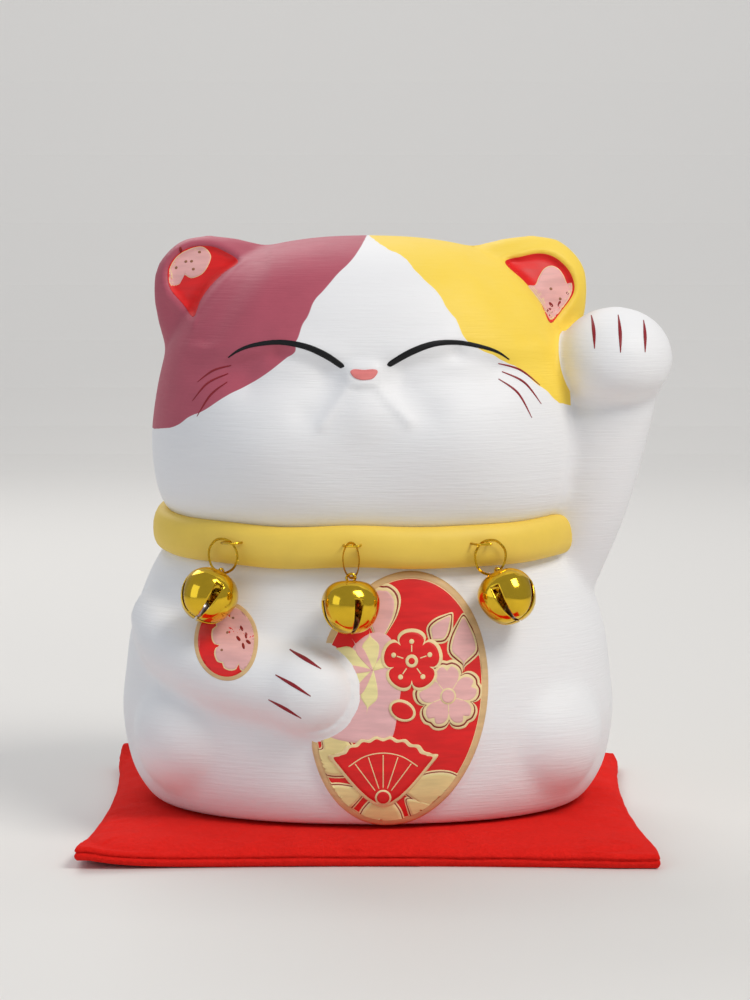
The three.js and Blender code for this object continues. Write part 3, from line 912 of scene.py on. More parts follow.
def mould_ears(bm):
    """Presses a hollow into the front of each ear and raises a rim round it."""
    for side, points in EAR_LININGS.items():
        edge = closed_curve(points)
        cx, cz = middle_of(edge)
        rim = [edge(i / 90) for i in range(90)]
        reach = sorted((math.atan2(z - cz, x - cx), math.hypot(x - cx, z - cz)) for x, z in rim)
        for vert in bm.verts:
            x, y, z = vert.co
            if z < 150 or x * side < 30 or y > -5.5 - abs(abs(x) - 50) * 0.1:
                continue
            angle = math.atan2(z - cz, x - cx)
            limit = min(reach, key=lambda row: abs(row[0] - angle))[1]
            past = math.hypot(x - cx, z - cz) - limit
            hollow = 2.3 / (1 + math.exp((past + 0.3) * 2.4))
            valley = 1.8 * swell(near_line(x, z, side * 33, 177, side * 49, 150), 4.0)
            vert.co.y += hollow + valley - 1.2 * swell(past - 1.5, 1.5)


def mould_face(bm):
    """Raises the face's relief on the front of the head."""
    for vert in bm.verts:
        x, y, z = vert.co
        if y < -25 and 96 < z < 168:
            vert.co.y -= face_relief(x, z) * min(1, (-25 - y) / 10)


def mould_paw(bm):
    """Presses the crease under the raised paw."""
    for vert in bm.verts:
        x, y, z = vert.co
        if y < -14 and x > 56 and 118 < z < 144:
            vert.co.y += 1.5 * swell(near_line(x, z, 63, 130.5, 87, 132.5), 3.0)


def mould_koban(bm, front):
    """Raises the oval coin on the belly."""
    low, high = KOBAN["z"] - 42, KOBAN["z"] + 42
    c, s = math.cos(math.radians(KOBAN["lean"])), math.sin(math.radians(KOBAN["lean"]))
    for vert in bm.verts:
        x, y, z = vert.co
        if y > -30 or not low < z < high or y < front(x, z) - 2.5:
            continue
        across, up = (x - KOBAN["x"]) * c - (z - KOBAN["z"]) * s, (x - KOBAN["x"]) * s + (z - KOBAN["z"]) * c
        share = math.hypot(across / (KOBAN["half_width"] + 0.5), up / (KOBAN["half_height"] + 0.5))
        vert.co.y -= KOBAN["relief"] * 0.8 / (1 + math.exp((share - 1) * 60))


KOBAN = {"x": 9.3, "z": 45.9, "half_width": 26, "half_height": 37.8, "lean": 10, "relief": 1.3}


# ---------------------------------------------------------------- operators for the paint


def cat_tree():
    bm = bmesh.new()
    bm.from_mesh(bpy.data.objects["cat"].data)
    bmesh.ops.scale(bm, vec=(1 / MM,) * 3, verts=bm.verts)
    tree = tree_of(bm)
    bm.free()
    return tree


class FIGURINE_OT_face(bpy.types.Operator):
    """Paint the eyes, the nose, the whiskers and the claws"""

    bl_idname = "figurine.face"
    bl_label = "Face and claws"

    def execute(self, context):
        colours = context.scene.paint_colours
        front = front_of(cat_tree())
        self.eyes(front, colours)
        self.nose(front, colours)
        self.lines(front, colours)
        return {"FINISHED"}

    @staticmethod
    def eyes(front, colours):
        bm = bmesh.new()
        add_stroke(bm, [(-41.4, 146.2, 0.35), (-38.2, 148.4, 0.8), (-33.5, 150.1, 1.15), (-26, 151, 1.5),
                        (-18.6, 149.9, 1.75), (-12.6, 147.4, 1.95), (-8, 144.4, 1.7), (-7.3, 143.7, 1.0)], front, 0.16)
        add_stroke(bm, [(42.1, 145.6, 0.35), (38.6, 147.9, 0.8), (33.6, 149.6, 1.15), (26.5, 150.9, 1.4),
                        (19.6, 150.6, 1.7), (13, 148.3, 1.95), (7.2, 145, 1.7), (6.2, 144.1, 1.0)], front, 0.16)
        finish_piece(bm, "eyes", paint_of("black_paint", colours.black, 0.5), "cat")

    @staticmethod
    def nose(front, colours):
        bm = bmesh.new()
        edge = closed_curve([(-4.9, 142.9), (-3.6, 143.3), (-1, 143.1), (1.6, 143.3), (2.9, 142.9), (2.8, 141.9),
                             (1.6, 140.6), (-0.2, 140.2), (-2, 140.2), (-3.8, 140.8), (-4.9, 142)])
        add_patch(bm, edge, front, 0.2, around=48, rings=8)
        finish_piece(bm, "nose", paint_of("nose_paint", colours.nose, 0.4), "cat")

    @staticmethod
    def lines(front, colours):
        bm = bmesh.new()
        whiskers = [
            ((-40.5, 143.9), (-46, 142.3), (-50.8, 138.8)), ((-41.4, 141.5), (-47.6, 138.6), (-52.3, 133.2)),
            ((-41.6, 139.1), (-46.6, 135.2), (-50.8, 128.7)), ((38.8, 144.5), (45.4, 142.5), (51.5, 137.8)),
            ((39.9, 142.1), (46.6, 138.8), (51.8, 132.3)), ((38.8, 140), (44.6, 135.8), (48.8, 128.4)),
        ]
        for near, middle, far in whiskers:
            add_stroke(bm, [(*near, 0.28), (*middle, 0.6), (*far, 0.2)], front)
        raised = [((67.5, 158.4), (67.7, 148.7)), ((75.3, 158.6), (75.3, 147.6)), ((83, 157), (82.8, 147.6))]
        lowered = [((-22.9, 61.2), (-13.5, 56.4)), ((-26.9, 54.5), (-16.5, 48.8)), ((-29, 47.1), (-19.3, 42))]
        for (x, z), (end_x, end_z) in raised + lowered:
            rows = [(x, z, 0.3), ((x + end_x) / 2 + 0.1, (z + end_z) / 2 + 0.3, 1.05), (end_x, end_z, 0.25)]
            add_stroke(bm, rows, front)
        finish_piece(bm, "whiskers_and_claws", paint_of("wine_paint", colours.wine, 0.38), "cat")


class Motifs:
    """Painted shapes in several colours, stacked in the order they are added."""

    STEP = 0.03

    def __init__(self, front, within=None):
        self.front = front
        self.within = within
        self.layers = {}
        self.lift = 0.12

    def add(self, colour, edge, around=72, rings=10):
        bm = self.layers.setdefault(colour, bmesh.new())
        add_patch(bm, edge, self.front, self.lift, 0.5, around, rings, self.within)

    def line(self, colour, rows, steps=28):
        add_stroke(self.layers.setdefault(colour, bmesh.new()), rows, self.front, self.lift, 0.4, steps)

    def outlined(self, edge, fill, outline="cream", width=0.5, around=72, rings=10):
        """A shape with a line round it."""
        self.add(outline, grown(edge, width), around, rings)
        self.up()
        self.add(fill, edge, around, rings)
        self.up()

    def up(self):
        self.lift += self.STEP

    def restart(self, lift):
        self.lift = lift

    def finish(self, name, finishes):
        for colour, bm in self.layers.items():
            finish_piece(bm, f"{name}_{colour}", finishes[colour], "cat")


class FIGURINE_OT_motifs(bpy.types.Operator):
    """Paint the ear linings, the shoulder's blossom and the oval coin"""

    bl_idname = "figurine.motifs"
    bl_label = "Blossom motifs"

    def execute(self, context):
        colours = context.scene.paint_colours
        finishes = {name: paint_of(f"{name}_paint", getattr(colours, name)) for name in
                    ("red", "petal", "cream", "straw", "gold_line", "dark_red", "lemon", "brown", "rose")}
        tree = cat_tree()
        self.ears(front_of(tree), finishes)
        self.shoulder(front_of(tree), finishes)
        self.coin(finishes)
        return {"FINISHED"}

    @staticmethod
    def ears(front, finishes):
        motifs = Motifs(front)
        left, right = (closed_curve(EAR_LININGS[side]) for side in (-1, 1))
        motifs.add("red", left, 96, 16)
        motifs.add("red", right, 96, 16)
        motifs.up()
        flower = closed_curve([(-60.6, 167.2), (-61, 171.4), (-59.6, 174.6), (-57, 177), (-53.4, 178.5),
                               (-50.5, 178.6), (-48.4, 176.2), (-49, 173.4), (-51, 170.6), (-54.2, 169.4),
                               (-56.6, 170.4), (-57.8, 167.6)])
        motifs.add("cream", grown(flower, 0.2), 96, 12)
        arch = closed_curve([(49, 167), (51.4, 167.2), (52.6, 169.6), (54.2, 172), (56.4, 172.9), (58.6, 172),
                             (60.1, 170), (61.2, 167.6), (62.6, 167.6), (62.5, 164.6), (59.8, 160.4), (55.9, 156.8),
                             (53, 161.6), (50.8, 164.6)])
        motifs.add("cream", grown(arch, 0.2), 96, 12)
        motifs.up()
        motifs.add("petal", flower, 96, 12)
        motifs.add("petal", arch, 96, 12)
        motifs.up()
        specks = [(-59, 172.4), (-56, 174.3), (-54.2, 174.4), (-51.8, 177.2), (-53.6, 172),
                  (56.2, 166), (59.1, 162.9), (61.4, 164.6)]
        for x, z in specks:
            motifs.add("brown", oval(x, z, 0.5, 0.4, x * 7), 16, 3)
        marks = [(56.2, 161.2, 50), (58.8, 161.4, 110), (55.4, 159.6, -30), (56, 158.4, -50), (-57.6, 178, 80)]
        for x, z, lean in marks:
            motifs.add("dark_red", oval(x, z, 0.95, 0.45, lean), 16, 3)
        motifs.finish("ear", finishes)

    @staticmethod
    def shoulder(front, finishes):
        place = (-41.9, 62.9, 9.6, 10.9, -6)
        motifs = Motifs(front, kept_inside(place[0], place[1], place[2] - 1.2, place[3] - 1.2, place[4]))
        rim = Motifs(front)
        rim.add("gold_line", oval(*place), 72, 12)
        rim.finish("shoulder_rim", finishes)
        motifs.up()
        motifs.add("red", oval(*place), 72, 12)
        motifs.up()
        flower = blossom(-37.4, 63.4, 8.9, turn=158, waist=0.7, notch=0.1)
        motifs.add("cream", grown(flower, 0.4), 90, 12)
        motifs.up()
        motifs.add("petal", flower, 90, 12)
        motifs.up()
        for x, z, lean in ((-37.4, 66.2, 60), (-36, 64.4, 80), (-38.2, 63.6, 40), (-36.6, 61.8, 70), (-35.2, 62.8, 30)):
            motifs.add("dark_red", oval(x, z, 0.85, 0.4, lean), 16, 3)
        for x, z in ((-43, 60.6), (-40, 69), (-41.6, 65)):
            motifs.add("brown", oval(x, z, 0.4, 0.35), 12, 3)
        motifs.finish("shoulder", finishes)

    @classmethod
    def coin(cls, finishes):
        on_body = body_front()

        def front(x, z):
            return on_body(x, z) - KOBAN["relief"]

        inner = KOBAN["half_width"] - 1.9, KOBAN["half_height"] - 1.9
        within = kept_inside(KOBAN["x"], KOBAN["z"], *inner, KOBAN["lean"])
        bm = bmesh.new()
        rim = oval(KOBAN["x"], KOBAN["z"], KOBAN["half_width"], KOBAN["half_height"], KOBAN["lean"])
        add_patch(bm, rim, on_body, KOBAN["relief"] + 0.05, 0.6, 144, 30)
        finish_piece(bm, "coin_rim", finishes["gold_line"], "cat")
        motifs = Motifs(front, within)
        field = oval(KOBAN["x"], KOBAN["z"], *inner, KOBAN["lean"])
        motifs.add("cream", grown(field, 0.35), 144, 30)
        motifs.up()
        motifs.add("red", field, 144, 30)
        motifs.up()
        cls.upper(motifs)
        cls.lower(motifs)
        cls.crests(motifs)
        motifs.finish("coin", finishes)

    @staticmethod
    def upper(motifs):
        """The long petal, the star, the drooping petals and the large blossom."""
        for reach, wide, colour in ((16.5, 11.4, "cream"), (15.8, 10.2, "dark_red"), (15.3, 9.3, "cream"),
                                    (14.4, 7.6, "petal")):
            motifs.add(colour, petal(3.4, 63.5, reach, wide, 86), 64, 10)
            motifs.up()
        wash = closed_curve([(-14, 40), (-8, 52), (-4, 62), (4, 66), (10, 58), (9, 44), (6, 34), (-4, 34), (-12, 36)])
        motifs.add("rose", wash, 96, 14)
        motifs.up()
        for turn, length, wide in ((152, 13, 5.4), (95, 10, 5), (205, 12, 5), (262, 11, 5), (35, 9, 4)):
            motifs.add("lemon", petal(1.5, 55, length, wide, turn, tip=1), 40, 8)
        motifs.up()
        for turn in (124, 178, 236):
            motifs.add("petal", petal(1.5, 55, 9.5, 2.4, turn, tip=1), 40, 8)
        motifs.restart(0.2)
        drooping = [petal(28.4, 69.4, 12.6, 7, -90, tip=1), petal(34.6, 67.6, 11, 6, -72, tip=1),
                    petal(24.2, 70, 8, 4.6, -128, tip=1)]
        for by, colour in ((1.5, "cream"), (1.0, "dark_red"), (0.55, "cream"), (0, "petal")):
            for edge in drooping:
                motifs.add(colour, grown(edge, by), 48, 8)
            motifs.up()
        for radius, colour in ((10.6, "cream"), (9.95, "dark_red"), (9.45, "cream")):
            motifs.add(colour, blossom(23.7, 47.3, radius, turn=92, waist=0.66, notch=0.05), 150, 14)
            motifs.up()
        motifs.add("petal", blossom(23.7, 47.3, 8.8, turn=92, waist=0.42, notch=0.17), 150, 14)
        motifs.up()
        for i in range(5):
            turn = math.radians(92 + 36 + 72 * i)
            rows = [(23.7 + reach * math.cos(turn), 47.3 + reach * math.sin(turn), 0.35) for reach in (2.2, 3.4, 4.6)]
            motifs.line("cream", rows, 6)
        motifs.add("cream", oval(23.7, 47.3, 2.4, 2.4), 32, 5)
        motifs.up()
        motifs.add("petal", oval(23.7, 47.3, 1.95, 1.95), 32, 5)

    @staticmethod
    def lower(motifs):
        """The straw-coloured petals along the coin's lower edge."""
        motifs.restart(0.2)
        petals = [petal(-3, 25.5, 13.5, 12, 146, 0.13), petal(-1.5, 19.5, 15, 9.5, 200, 0.13),
                  petal(4.5, 18.5, 12, 12, 266, 0.13), petal(10, 21, 18, 11.5, 350, 0.13),
                  petal(12, 16.5, 12, 7.5, 318, 0.13)]
        for by, colour in ((1.15, "cream"), (0.75, "dark_red"), (0.4, "cream"), (0, "straw")):
            for edge in petals:
                motifs.add(colour, grown(edge, by), 64, 9)
            motifs.up()

    @staticmethod
    def crests(motifs):
        """Two plain crests in red: a plum blossom, and a folding fan."""
        motifs.restart(0.46)
        motifs.add("cream", blossom(13, 57.6, 9.3, turn=90, waist=0.72, notch=0), 120, 12)
        motifs.up()
        motifs.add("red", blossom(13, 57.6, 8.4, turn=90, waist=0.66, notch=0), 120, 12)
        motifs.up()
        motifs.add("cream", oval(13, 57.6, 1.9, 1.9), 32, 5)
        for i in range(5):
            turn = math.radians(90 + 72 * i)
            rows = [(13 + r * math.cos(turn), 57.6 + r * math.sin(turn), 0.5) for r in (2.6, 3.6, 4.6)]
            motifs.line("cream", rows, 6)
            motifs.add("cream", oval(13 + 5.6 * math.cos(turn), 57.6 + 5.6 * math.sin(turn), 0.75, 0.75), 16, 3)
        motifs.up()
        motifs.add("red", oval(13, 57.6, 0.95, 0.95), 24, 4)
        motifs.up()
        motifs.outlined(oval(10.2, 43.4, 3.4, 2.3, 24), "red", width=0.75, around=40, rings=6)
        for by, colour in ((0.8, "cream"), (0, "red")):
            edge = fan_outline(4.6, 16.5, 18.5, 50, by)
            motifs.add(colour, edge, 120, 12)
            motifs.up()
        for angle in (-36, -18, 0, 18, 36):
            turn = math.radians(90 + angle)
            rows = [(4.6 + r * math.cos(turn), 16.5 + r * math.sin(turn), 0.42) for r in (4, 9, 14)]
            motifs.line("cream", rows, 12)
        arc = [(4.6 + 14.6 * math.cos(math.radians(90 + a)), 16.5 + 14.6 * math.sin(math.radians(90 + a)), 0.45)
               for a in (-44, -22, 0, 22, 44)]
        motifs.line("cream", arc, 36)
        motifs.up()
        motifs.outlined(oval(4.6, 17.6, 1.9, 1.9), "red", width=0.55, around=24, rings=4)


def fan_outline(x, z, radius, half_angle, by):
    """A folding fan: a wedge with a scalloped far edge, grown all round."""
    points = [(x, z - 1.2 - by)]
    for i in range(17):
        angle = math.radians(90 - half_angle + 2 * half_angle * i / 16)
        reach = radius + by + (0.35 if i % 2 else -0.35)
        side = (i / 8 - 1) * by
        points.append((x + reach * math.cos(angle) - side, z + reach * math.sin(angle)))
    return closed_curve(points)


class FIGURINE_OT_collar(bpy.types.Operator):
    """Model the yellow collar"""

    bl_idname = "figurine.collar"
    bl_label = "Collar"

    def execute(self, context):
        sizes = context.scene.cat_sizes
        bm = bmesh.new()
        made = bmesh.ops.create_grid(bm, x_segments=192, y_segments=24, size=1)
        for vert in made["verts"]:
            vert.co = self.place((vert.co.x + 1) * math.pi, (vert.co.y + 1) * math.pi)
        bmesh.ops.remove_doubles(bm, verts=bm.verts, dist=0.01)
        bmesh.ops.recalc_face_normals(bm, faces=bm.faces)
        paint = Paint("collar_paint")
        tone = paint.noise(70, 4, 0.6)
        grain = paint.noise(500, 3, 0.6, (8, 8, 1))
        deep, light = [c * 0.9 for c in sizes.collar_yellow], [min(c * 1.1, 1) for c in sizes.collar_yellow]
        paint.bump(grain, 0.3, 0.00015)
        finish = paint.set(Base_Color=paint.blend(tone, deep, light), Roughness=grain * 0.12 + 0.5)
        finish_piece(bm, "collar", finish, "cat")
        return {"FINISHED"}

    @staticmethod
    def place(around, angle):
        """A point of the collar: around the neck, and round its section."""
        x, y = rounded(around, 2.4, 62.6, 55.6, 49.5)
        normal = Vector((x / 62.6**2, y / 55.6**2)).normalized()
        dent = 0.25 * math.sin(around * 7) + 0.2 * math.sin(around * 11 + 1)
        out = 4.5 * math.copysign(abs(math.cos(angle)) ** 0.8, math.cos(angle)) + 0.2 * dent
        up = 6.25 * math.copysign(abs(math.sin(angle)) ** 0.85, math.sin(angle)) + dent
        sag = 2.2 * max(0, -y / 55.6)
        return x + normal.x * out, y + normal.y * out, NECK - sag + up


# ---------------------------------------------------------------- the bells


def screw(joint):
    """A joint's place in millimetres and its unit axis."""
    return Vector(JOINTS[joint]["pos_m"]) / MM, Vector(JOINTS[joint]["axis"]).normalized()


class Hanging:
    """Where one bell, its ring and its staple are, from the frame's joints."""

    def __init__(self, side):
        self.side = side
        self.hang, across = screw(f"bell_swing_{side}")
        self.middle, _ = screw(f"pea_roll_{side}")
        self.pin, ring_axis = screw(f"ring_swing_{side}")
        low, high = node_box(f"ring_{side}")
        self.ring = (low + high) / 2
        up = (self.hang - self.middle).normalized()
        x = -across
        x = (x - up * x.dot(up)).normalized()
        self.bell = self.frame(x, up.cross(x), up, self.middle)
        axis = ring_axis if side != "middle" else across.cross(self.hang - self.ring)
        axis = axis.normalized()
        up = (self.pin - self.ring)
        up = (up - axis * up.dot(axis)).normalized()
        self.hoop = self.frame(up.cross(-axis), -axis, up, self.ring)
        z = Vector((0, 0, 1))
        if side == "middle":
            x = -Vector((ring_axis.x, ring_axis.y, 0)).normalized()
            y = z.cross(x)
            offset = Vector((0, -4.3, 0))
        else:
            y = Vector((ring_axis.x, ring_axis.y, 0)).normalized()
            x = y.cross(z)
            offset = Vector((-2.5 if side == "left" else 2.5, -2.15, 0))
        root = self.pin - x * offset.x - y * offset.y
        self.staple = self.frame(x, y, z, root)

    @staticmethod
    def frame(x, y, z, at):
        turn = Matrix((x, y, z)).transposed().to_4x4()
        return Matrix.Translation(at) @ turn


def gilt(metal):
    """Bright gold plate over pressed brass."""
    paint = Paint("gold_plate")
    dents = paint.noise(130, 2, 0.5)
    haze = paint.noise(700, 3, 0.6)
    deep = [c * 0.86 for c in metal.gold]
    paint.bump(dents, 0.2, 0.0004)
    return paint.set(Base_Color=paint.blend(haze, deep, metal.gold), Roughness=haze * 0.1 + 0.07, Metallic=1.0)


def spun(profile, steps=64):
    """A closed profile of radius and height points, spun round Z."""
    bm = bmesh.new()
    verts = [bmesh.ops.create_vert(bm, co=(r, 0, z))["vert"][0] for r, z in profile]
    edges = [bm.edges.new((a, b)) for a, b in zip(verts, verts[1:])]
    bmesh.ops.spin(bm, geom=verts + edges, cent=(0, 0, 0), axis=(0, 0, 1), angle=2 * math.pi, steps=steps,
                   use_merge=True)
    bmesh.ops.remove_doubles(bm, verts=bm.verts, dist=0.001)
    bmesh.ops.recalc_face_normals(bm, faces=bm.faces)
    return bm


def wire_through(bm, points, radius, around=12, steps=40):
    add_limb(bm, [(*point, radius) for point in points], around, steps)


class FIGURINE_OT_bells(bpy.types.Operator):
    """Model the bells with their loops, rings, staples and peas"""

    bl_idname = "figurine.bells"
    bl_label = "Bells"

    def execute(self, context):
        metal = context.scene.metal_sizes
        finish = gilt(metal)
        steel = Paint("steel")
        grain = steel.noise(600, 3)
        steel.set(Base_Color=(0.5, 0.5, 0.52), Metallic=1.0, Roughness=grain * 0.2 + 0.25)
        for side in SIDES:
            place = Hanging(side)
            self.shell(place, metal, finish)
            self.loop(place, finish)
            self.ring(place, finish)
            self.staple(place, finish)
            bm = bmesh.new()
            low = 9.2 - 0.5 - 0.3 - 2.6
            add_ball(bm, (0, 0, -low), (2.6, 2.6, 2.6), across=32, up=20)
            bm.transform(place.bell)
            finish_piece(bm, f"bell_pea_{side}", steel.material, f"pea_{side}", f"pea_{side}")
        return {"FINISHED"}

    @staticmethod
    def outline(inset, rows=32):
        """The bell's half outline, from its bottom to its crown: a bowl below and square shoulders above."""
        points = []
        for i in range(rows + 1):
            angle = -math.pi / 2 + math.pi * i / rows
            below = math.sin(angle) < 0
            radius = (8.7 - inset) * abs(math.cos(angle)) ** (0.82 if below else 0.62)
            rise = abs(math.sin(angle)) ** (1.0 if below else 1.25)
            height = -(9.2 - inset) * rise if below else (6.4 - inset) * rise
            points.append((radius if 0 < i < rows else 0, height))
        return points

    @staticmethod
    def square_up(bm):
        """Draws the four petals out and presses the metal in along the slots."""
        for vert in bm.verts:
            angle = math.atan2(vert.co.y, vert.co.x)
            petal_share = 0.5 - 0.5 * math.cos(4 * (angle - math.pi / 4))
            level = max(0, min(1, (7 - vert.co.z) / 10))
            wide = 1 + (0.045 * (petal_share - 0.5) - 0.012) * level
            dent = 0.012 * noise.noise(vert.co * 0.35)
            vert.co.x *= wide + dent
            vert.co.y *= wide + dent

    @classmethod
    def shell(cls, place, metal, finish):
        sheet = metal.sheet / MM
        outer, inner = cls.outline(0), cls.outline(sheet)
        bm = spun(outer)
        bm = cut_away(bm, spun(inner))
        cls.square_up(bm)
        for turn in (45, 135):
            bm = cut_away(bm, cls.slot(metal.slot / MM, turn))
        hole = bmesh.new()
        bmesh.ops.create_cone(hole, cap_ends=True, segments=24, radius1=1.6, radius2=1.6, depth=4)
        bmesh.ops.translate(hole, verts=hole.verts, vec=(0, 0, 6.4))
        bm = cut_away(bm, hole)
        bm.transform(place.bell)
        node = f"bell_shell_{place.side}"
        finish_piece(bm, f"jingle_{place.side}", finish, f"bell_{place.side}", node)

    @staticmethod
    def slot(width, turn):
        """A slot across the bottom that widens towards its two ends."""
        bm = bmesh.new()
        made = bmesh.ops.create_grid(bm, x_segments=24, y_segments=1, size=1)
        for vert in made["verts"]:
            reach = vert.co.x * 11
            half = width / 2 + 0.75 * max(0, (abs(reach) - 3.5) / 5) ** 1.2
            vert.co = (reach, math.copysign(half, vert.co.y), -12)
        extruded = bmesh.ops.extrude_face_region(bm, geom=list(bm.faces), use_keep_orig=True)
        top = [item for item in extruded["geom"] if isinstance(item, bmesh.types.BMVert)]
        bmesh.ops.translate(bm, verts=top, vec=(0, 0, 12.4))
        bmesh.ops.recalc_face_normals(bm, faces=bm.faces)
        transform(bm, bm.verts, Matrix.Rotation(math.radians(turn), 4, "Z"))
        return bm

    @staticmethod
    def loop(place, finish):
        """The wire loop through the bell's crown, its two ends splayed inside."""
        crown = 6.4
        half = [(0, 3.4, crown - 2), (0, 2, crown - 1.5), (0, 0.8, crown - 0.7), (0, 1.25, crown + 0.35),
                (0, 1.5, crown + 0.8), (0, 1.0, crown + 1.6), (0, 0, crown + 2)]
        other = [(x, -y, z) for x, y, z in reversed(half[:-1])]
        bm = bmesh.new()
        wire_through(bm, half + other, 0.4, 12, 48)
        bm.transform(place.bell)
        finish_piece(bm, f"loop_{place.side}", finish, f"bell_{place.side}", f"bell_loop_{place.side}")

    @staticmethod
    def ring(place, finish):
        """A thin wire ring, a little out of round."""
        bm = bmesh.new()
        made = bmesh.ops.create_circle(bm, segments=14, radius=0.4)
        turned = Matrix.Translation((5.1, 0, 0)) @ Matrix.Rotation(math.pi / 2, 4, "X")
        transform(bm, made["verts"], turned)
        bmesh.ops.spin(bm, geom=list(bm.verts) + list(bm.edges), cent=(0, 0, 0), axis=(0, 1, 0), angle=2 * math.pi,
                       steps=72, use_merge=True)
        bmesh.ops.remove_doubles(bm, verts=bm.verts, dist=0.001)
        bmesh.ops.recalc_face_normals(bm, faces=bm.faces)
        for vert in bm.verts:
            angle = math.atan2(vert.co.z, vert.co.x)
            swing = 1 + 0.012 * math.sin(3 * angle + 1) + 0.008 * math.sin(7 * angle)
            vert.co.x *= swing
            vert.co.z *= swing
        bm.transform(place.hoop)
        finish_piece(bm, f"hoop_{place.side}", finish, f"ring_{place.side}", f"ring_{place.side}")

    @staticmethod
    def staple(place, finish):
        half = [(2.5, 3.4, 0), (2.5, 1.7, 0), (2.5, 0, 0), (2.5, -2.37, 0), (1.88, -4, 0), (0, -4.3, 0)]
        other = [(-x, y, z) for x, y, z in reversed(half[:-1])]
        bm = bmesh.new()
        wire_through(bm, half + other, 0.36, 12, 48)
        bm.transform(place.staple)
        finish_piece(bm, f"staple_{place.side}", finish, "cat", f"eyelet_{place.side}")


class FIGURINE_OT_stopper(bpy.types.Operator):
    """Model the rubber stopper in the cat's foot"""

    bl_idname = "figurine.stopper"
    bl_label = "Stopper"

    def execute(self, context):
        low, high = node_box("base_stopper")
        top = high.z
        flange = FOOT + 3.7
        profile = [(0, top), (13.4, top), (14.3, top - 0.5), (14.65, top - 1.2), (14.65, flange), (18.7, flange),
                   (19, flange - 0.3), (19, flange - 1.5), (18.7, flange - 1.8), (0, flange - 1.8)]
        bm = spun(profile, 72)
        tab = bmesh.ops.create_cube(bm, size=1)["verts"]
        middle = (low.z + flange - 1.4) / 2
        transform(bm, tab, Matrix.Translation((0, 0, middle)) @ Matrix.Diagonal((10, 2.4, flange - 1.4 - low.z, 1)))
        paint = Paint("rubber")
        grain = paint.noise(900, 3)
        paint.bump(grain, 0.2, 0.0001)
        paint.set(Base_Color=paint.blend(grain, (0.24, 0.235, 0.22), (0.29, 0.28, 0.26)), Roughness=grain * 0.1 + 0.6)
        finish_piece(bm, "stopper", paint.material, "stopper", "base_stopper", smooth=False)
        return {"FINISHED"}


# ---------------------------------------------------------------- the cushion

SIDE_FOOT, SIDE_TOP = 0.4, 4.4  # the heights between which the cushion's sides stand


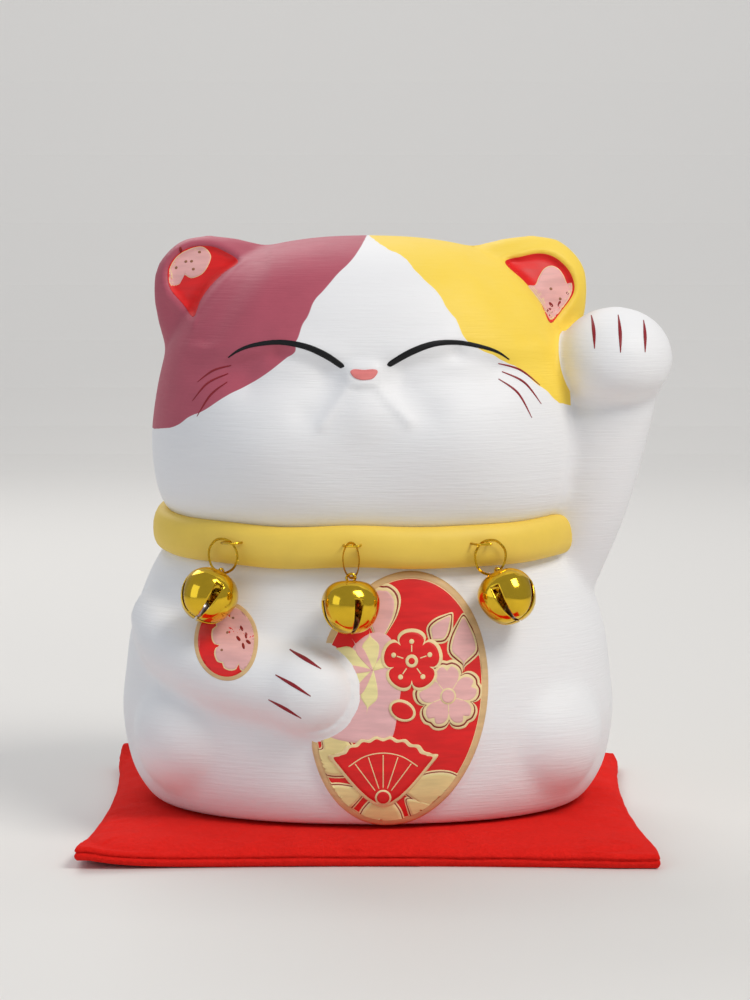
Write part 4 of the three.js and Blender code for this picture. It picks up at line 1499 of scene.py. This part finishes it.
class FIGURINE_OT_cushion(bpy.types.Operator):
    """Model the felt cushion"""

    bl_idname = "figurine.cushion"
    bl_label = "Felt cushion"

    def execute(self, context):
        sizes = context.scene.cushion_sizes
        bm = bmesh.new()
        cells = sizes.cells
        top = bmesh.ops.create_grid(bm, x_segments=cells, y_segments=cells, size=1)["verts"]
        for vert in top:
            vert.co = self.top(vert.co.x, vert.co.y, sizes)
        faces = list(bm.faces)
        under = bmesh.ops.duplicate(bm, geom=faces)
        low = [item for item in under["geom"] if isinstance(item, bmesh.types.BMVert)]
        for vert in low:
            vert.co.z = max(0, self.under(vert.co.x, vert.co.y))
        edges = [edge for edge in bm.edges if edge.is_boundary]
        side = bmesh.ops.bridge_loops(bm, edges=edges)
        self.round_sides(bm, side["faces"])
        bmesh.ops.recalc_face_normals(bm, faces=bm.faces)
        piece = finish_piece(bm, "felt_cushion", self.felt(sizes), "cushion",
                             ("cushion_cover_base", "cushion_wadding", "cushion_cover_top"))
        return {"FINISHED"}

    @staticmethod
    def flat(u, v, sizes):
        """A point of the cushion's outline square, its sides curved in and its corners a little blunt."""
        half = 85
        pull = sizes.pull_in / MM
        x = u * (half - pull * (1 - v * v))
        y = v * (half - pull * (1 - u * u))
        blunt = max(0, abs(u * v) - 0.86) / 0.14
        return x * (1 - 0.014 * blunt), y * (1 - 0.014 * blunt)

    @classmethod
    def top(cls, u, v, sizes):
        """A point of the upper felt: a crown that falls to the edge in a soft shoulder, with gathers along it."""
        x, y = cls.flat(u, v, sizes)
        reach = (abs(u) ** 8 + abs(v) ** 8) ** (1 / 8)
        crown = SIDE_TOP + (7.6 - SIDE_TOP) * max(0, 1 - min(reach, 1) ** 7) ** 0.55
        wave = noise.noise(Vector((x / 19, y / 19, 1.3))) * 0.75 + noise.noise(Vector((x / 8, y / 8, 4))) * 0.3
        along, which = (v, 3.7) if abs(u) > abs(v) else (u, 8.1)
        gather = noise.noise(Vector((along * 11, which, 0))) * 1.1
        edge = 1 - reach
        rise = wave * swell(edge - 0.14, 0.2) + gather * swell(edge - 0.05, 0.07)
        rise += noise.noise(Vector((x / 1.7, y / 1.7, 9))) * 0.16 + noise.noise(Vector((x / 3.6, y / 3.6, 2))) * 0.16
        foot = math.hypot(x / 67, (y + 4) / 59)
        pressed = max(0, min(1, (1.04 - foot) * 9))
        swollen = 0.55 * swell(foot - 1.15, 0.09)
        return x, y, crown + (rise + swollen) * (1 - pressed) + cls.curl(x, y)

    @staticmethod
    def curl(x, y):
        """How far the corners turn up: the two on the left more than the others."""
        high = 4.2 if x < 0 < y else 2.2 if x < 0 else 0.7 if y > 0 else 0
        return high * min(1, abs(x * y) / 82**2) ** 7

    @classmethod
    def under(cls, x, y):
        edge = max(abs(x), abs(y)) / 85
        return SIDE_FOOT * max(0, edge - 0.93) / 0.07 + cls.curl(x, y)

    def round_sides(self, bm, faces):
        """Gives the sides their sewn edge: a fold low down, whose front end shows, under a soft bulge."""
        edges = (edge for face in faces for edge in face.edges)
        tall = list({edge for edge in edges if abs(edge.verts[0].co.z - edge.verts[1].co.z) > 1.5})
        made = bmesh.ops.subdivide_edges(bm, edges=tall, cuts=11)
        for vert in {item for item in made["geom_inner"] if isinstance(item, bmesh.types.BMVert)}:
            x, y, z = vert.co
            share = max(0, min(1, (z - self.curl(x, y) - SIDE_FOOT) / (SIDE_TOP - SIDE_FOOT)))
            wobble = noise.noise(Vector((x / 12, y / 12, 0)))
            crease = 0.55 + 0.07 * wobble
            bulge = 1.15 * math.sin(math.pi * share) ** 0.55 - 1.0 * swell(share - crease, 0.085)
            fold = 1 / (1 + math.exp((x - 15.3) * 3)) if y < 0 and abs(y) > abs(x) else 0.5
            bulge += 0.5 * (fold - 0.5) * (1 if share < crease else 0)
            bulge += 0.25 * wobble + 0.12 * noise.noise(Vector((x / 1.6, y / 1.6, z)))
            side = Vector((math.copysign(1, x), 0, 0)) if abs(x) > abs(y) else Vector((0, math.copysign(1, y), 0))
            corner = max(0, (min(abs(x), abs(y)) / max(abs(x), abs(y)) - 0.9) / 0.1)
            vert.co += side.lerp(Vector((x, y, 0)).normalized(), corner) * bulge

    @staticmethod
    def felt(sizes):
        """Pressed wool: a fuzzy, mottled red."""
        paint = Paint("felt")
        fibres = paint.smooth(paint.noise(2400, 4, 0.75), 0.32, 0.68)
        tufts = paint.smooth(paint.noise(800, 4, 0.7), 0.34, 0.66)
        cloud = paint.smooth(paint.noise(70, 3, 0.55), 0.3, 0.7)
        deep = [c * 0.86 for c in sizes.felt]
        light = [min(c * 1.1 + 0.004, 1) for c in sizes.felt]
        colour = paint.blend(fibres * 0.4 + tufts * 0.4 + cloud * 0.2, deep, light)
        paint.bump(fibres * 0.5 + tufts * 0.9, 0.6, 0.0006)
        paint.set(Sheen_Weight=0.12, Sheen_Roughness=0.5, Sheen_Tint=(1.0, 0.12, 0.10, 1.0), Specular_IOR_Level=0.1)
        return paint.set(Base_Color=colour, Roughness=fibres * 0.1 + 0.88)


# ---------------------------------------------------------------- add-on


class FIGURINE_PT_panel(bpy.types.Panel):
    """Lists the steps that build the figurine"""

    bl_label = "Ceramic cat"
    bl_space_type = "VIEW_3D"
    bl_region_type = "UI"
    bl_category = "Figurine"

    def draw(self, context):
        for operator in OPERATORS:
            self.layout.operator(operator.bl_idname)


OPERATORS = (FIGURINE_OT_stage, FIGURINE_OT_cat, FIGURINE_OT_collar, FIGURINE_OT_face, FIGURINE_OT_motifs,
             FIGURINE_OT_bells, FIGURINE_OT_stopper, FIGURINE_OT_cushion)
GROUPS = {"cat_sizes": CatSizes, "paint_colours": PaintColours, "metal_sizes": MetalSizes,
          "cushion_sizes": CushionSizes, "stage_sizes": StageSizes}


def register():
    for cls in (*GROUPS.values(), *OPERATORS, FIGURINE_PT_panel):
        bpy.utils.register_class(cls)
    for name, group in GROUPS.items():
        setattr(bpy.types.Scene, name, PointerProperty(type=group))


def unregister():
    for name in GROUPS:
        delattr(bpy.types.Scene, name)
    for cls in (FIGURINE_PT_panel, *reversed(OPERATORS), *reversed(list(GROUPS.values()))):
        bpy.utils.unregister_class(cls)


def main():
    register()
    for operator in OPERATORS:
        group, name = operator.bl_idname.split(".")
        getattr(getattr(bpy.ops, group), name)()


if __name__ == "__main__":
    main()
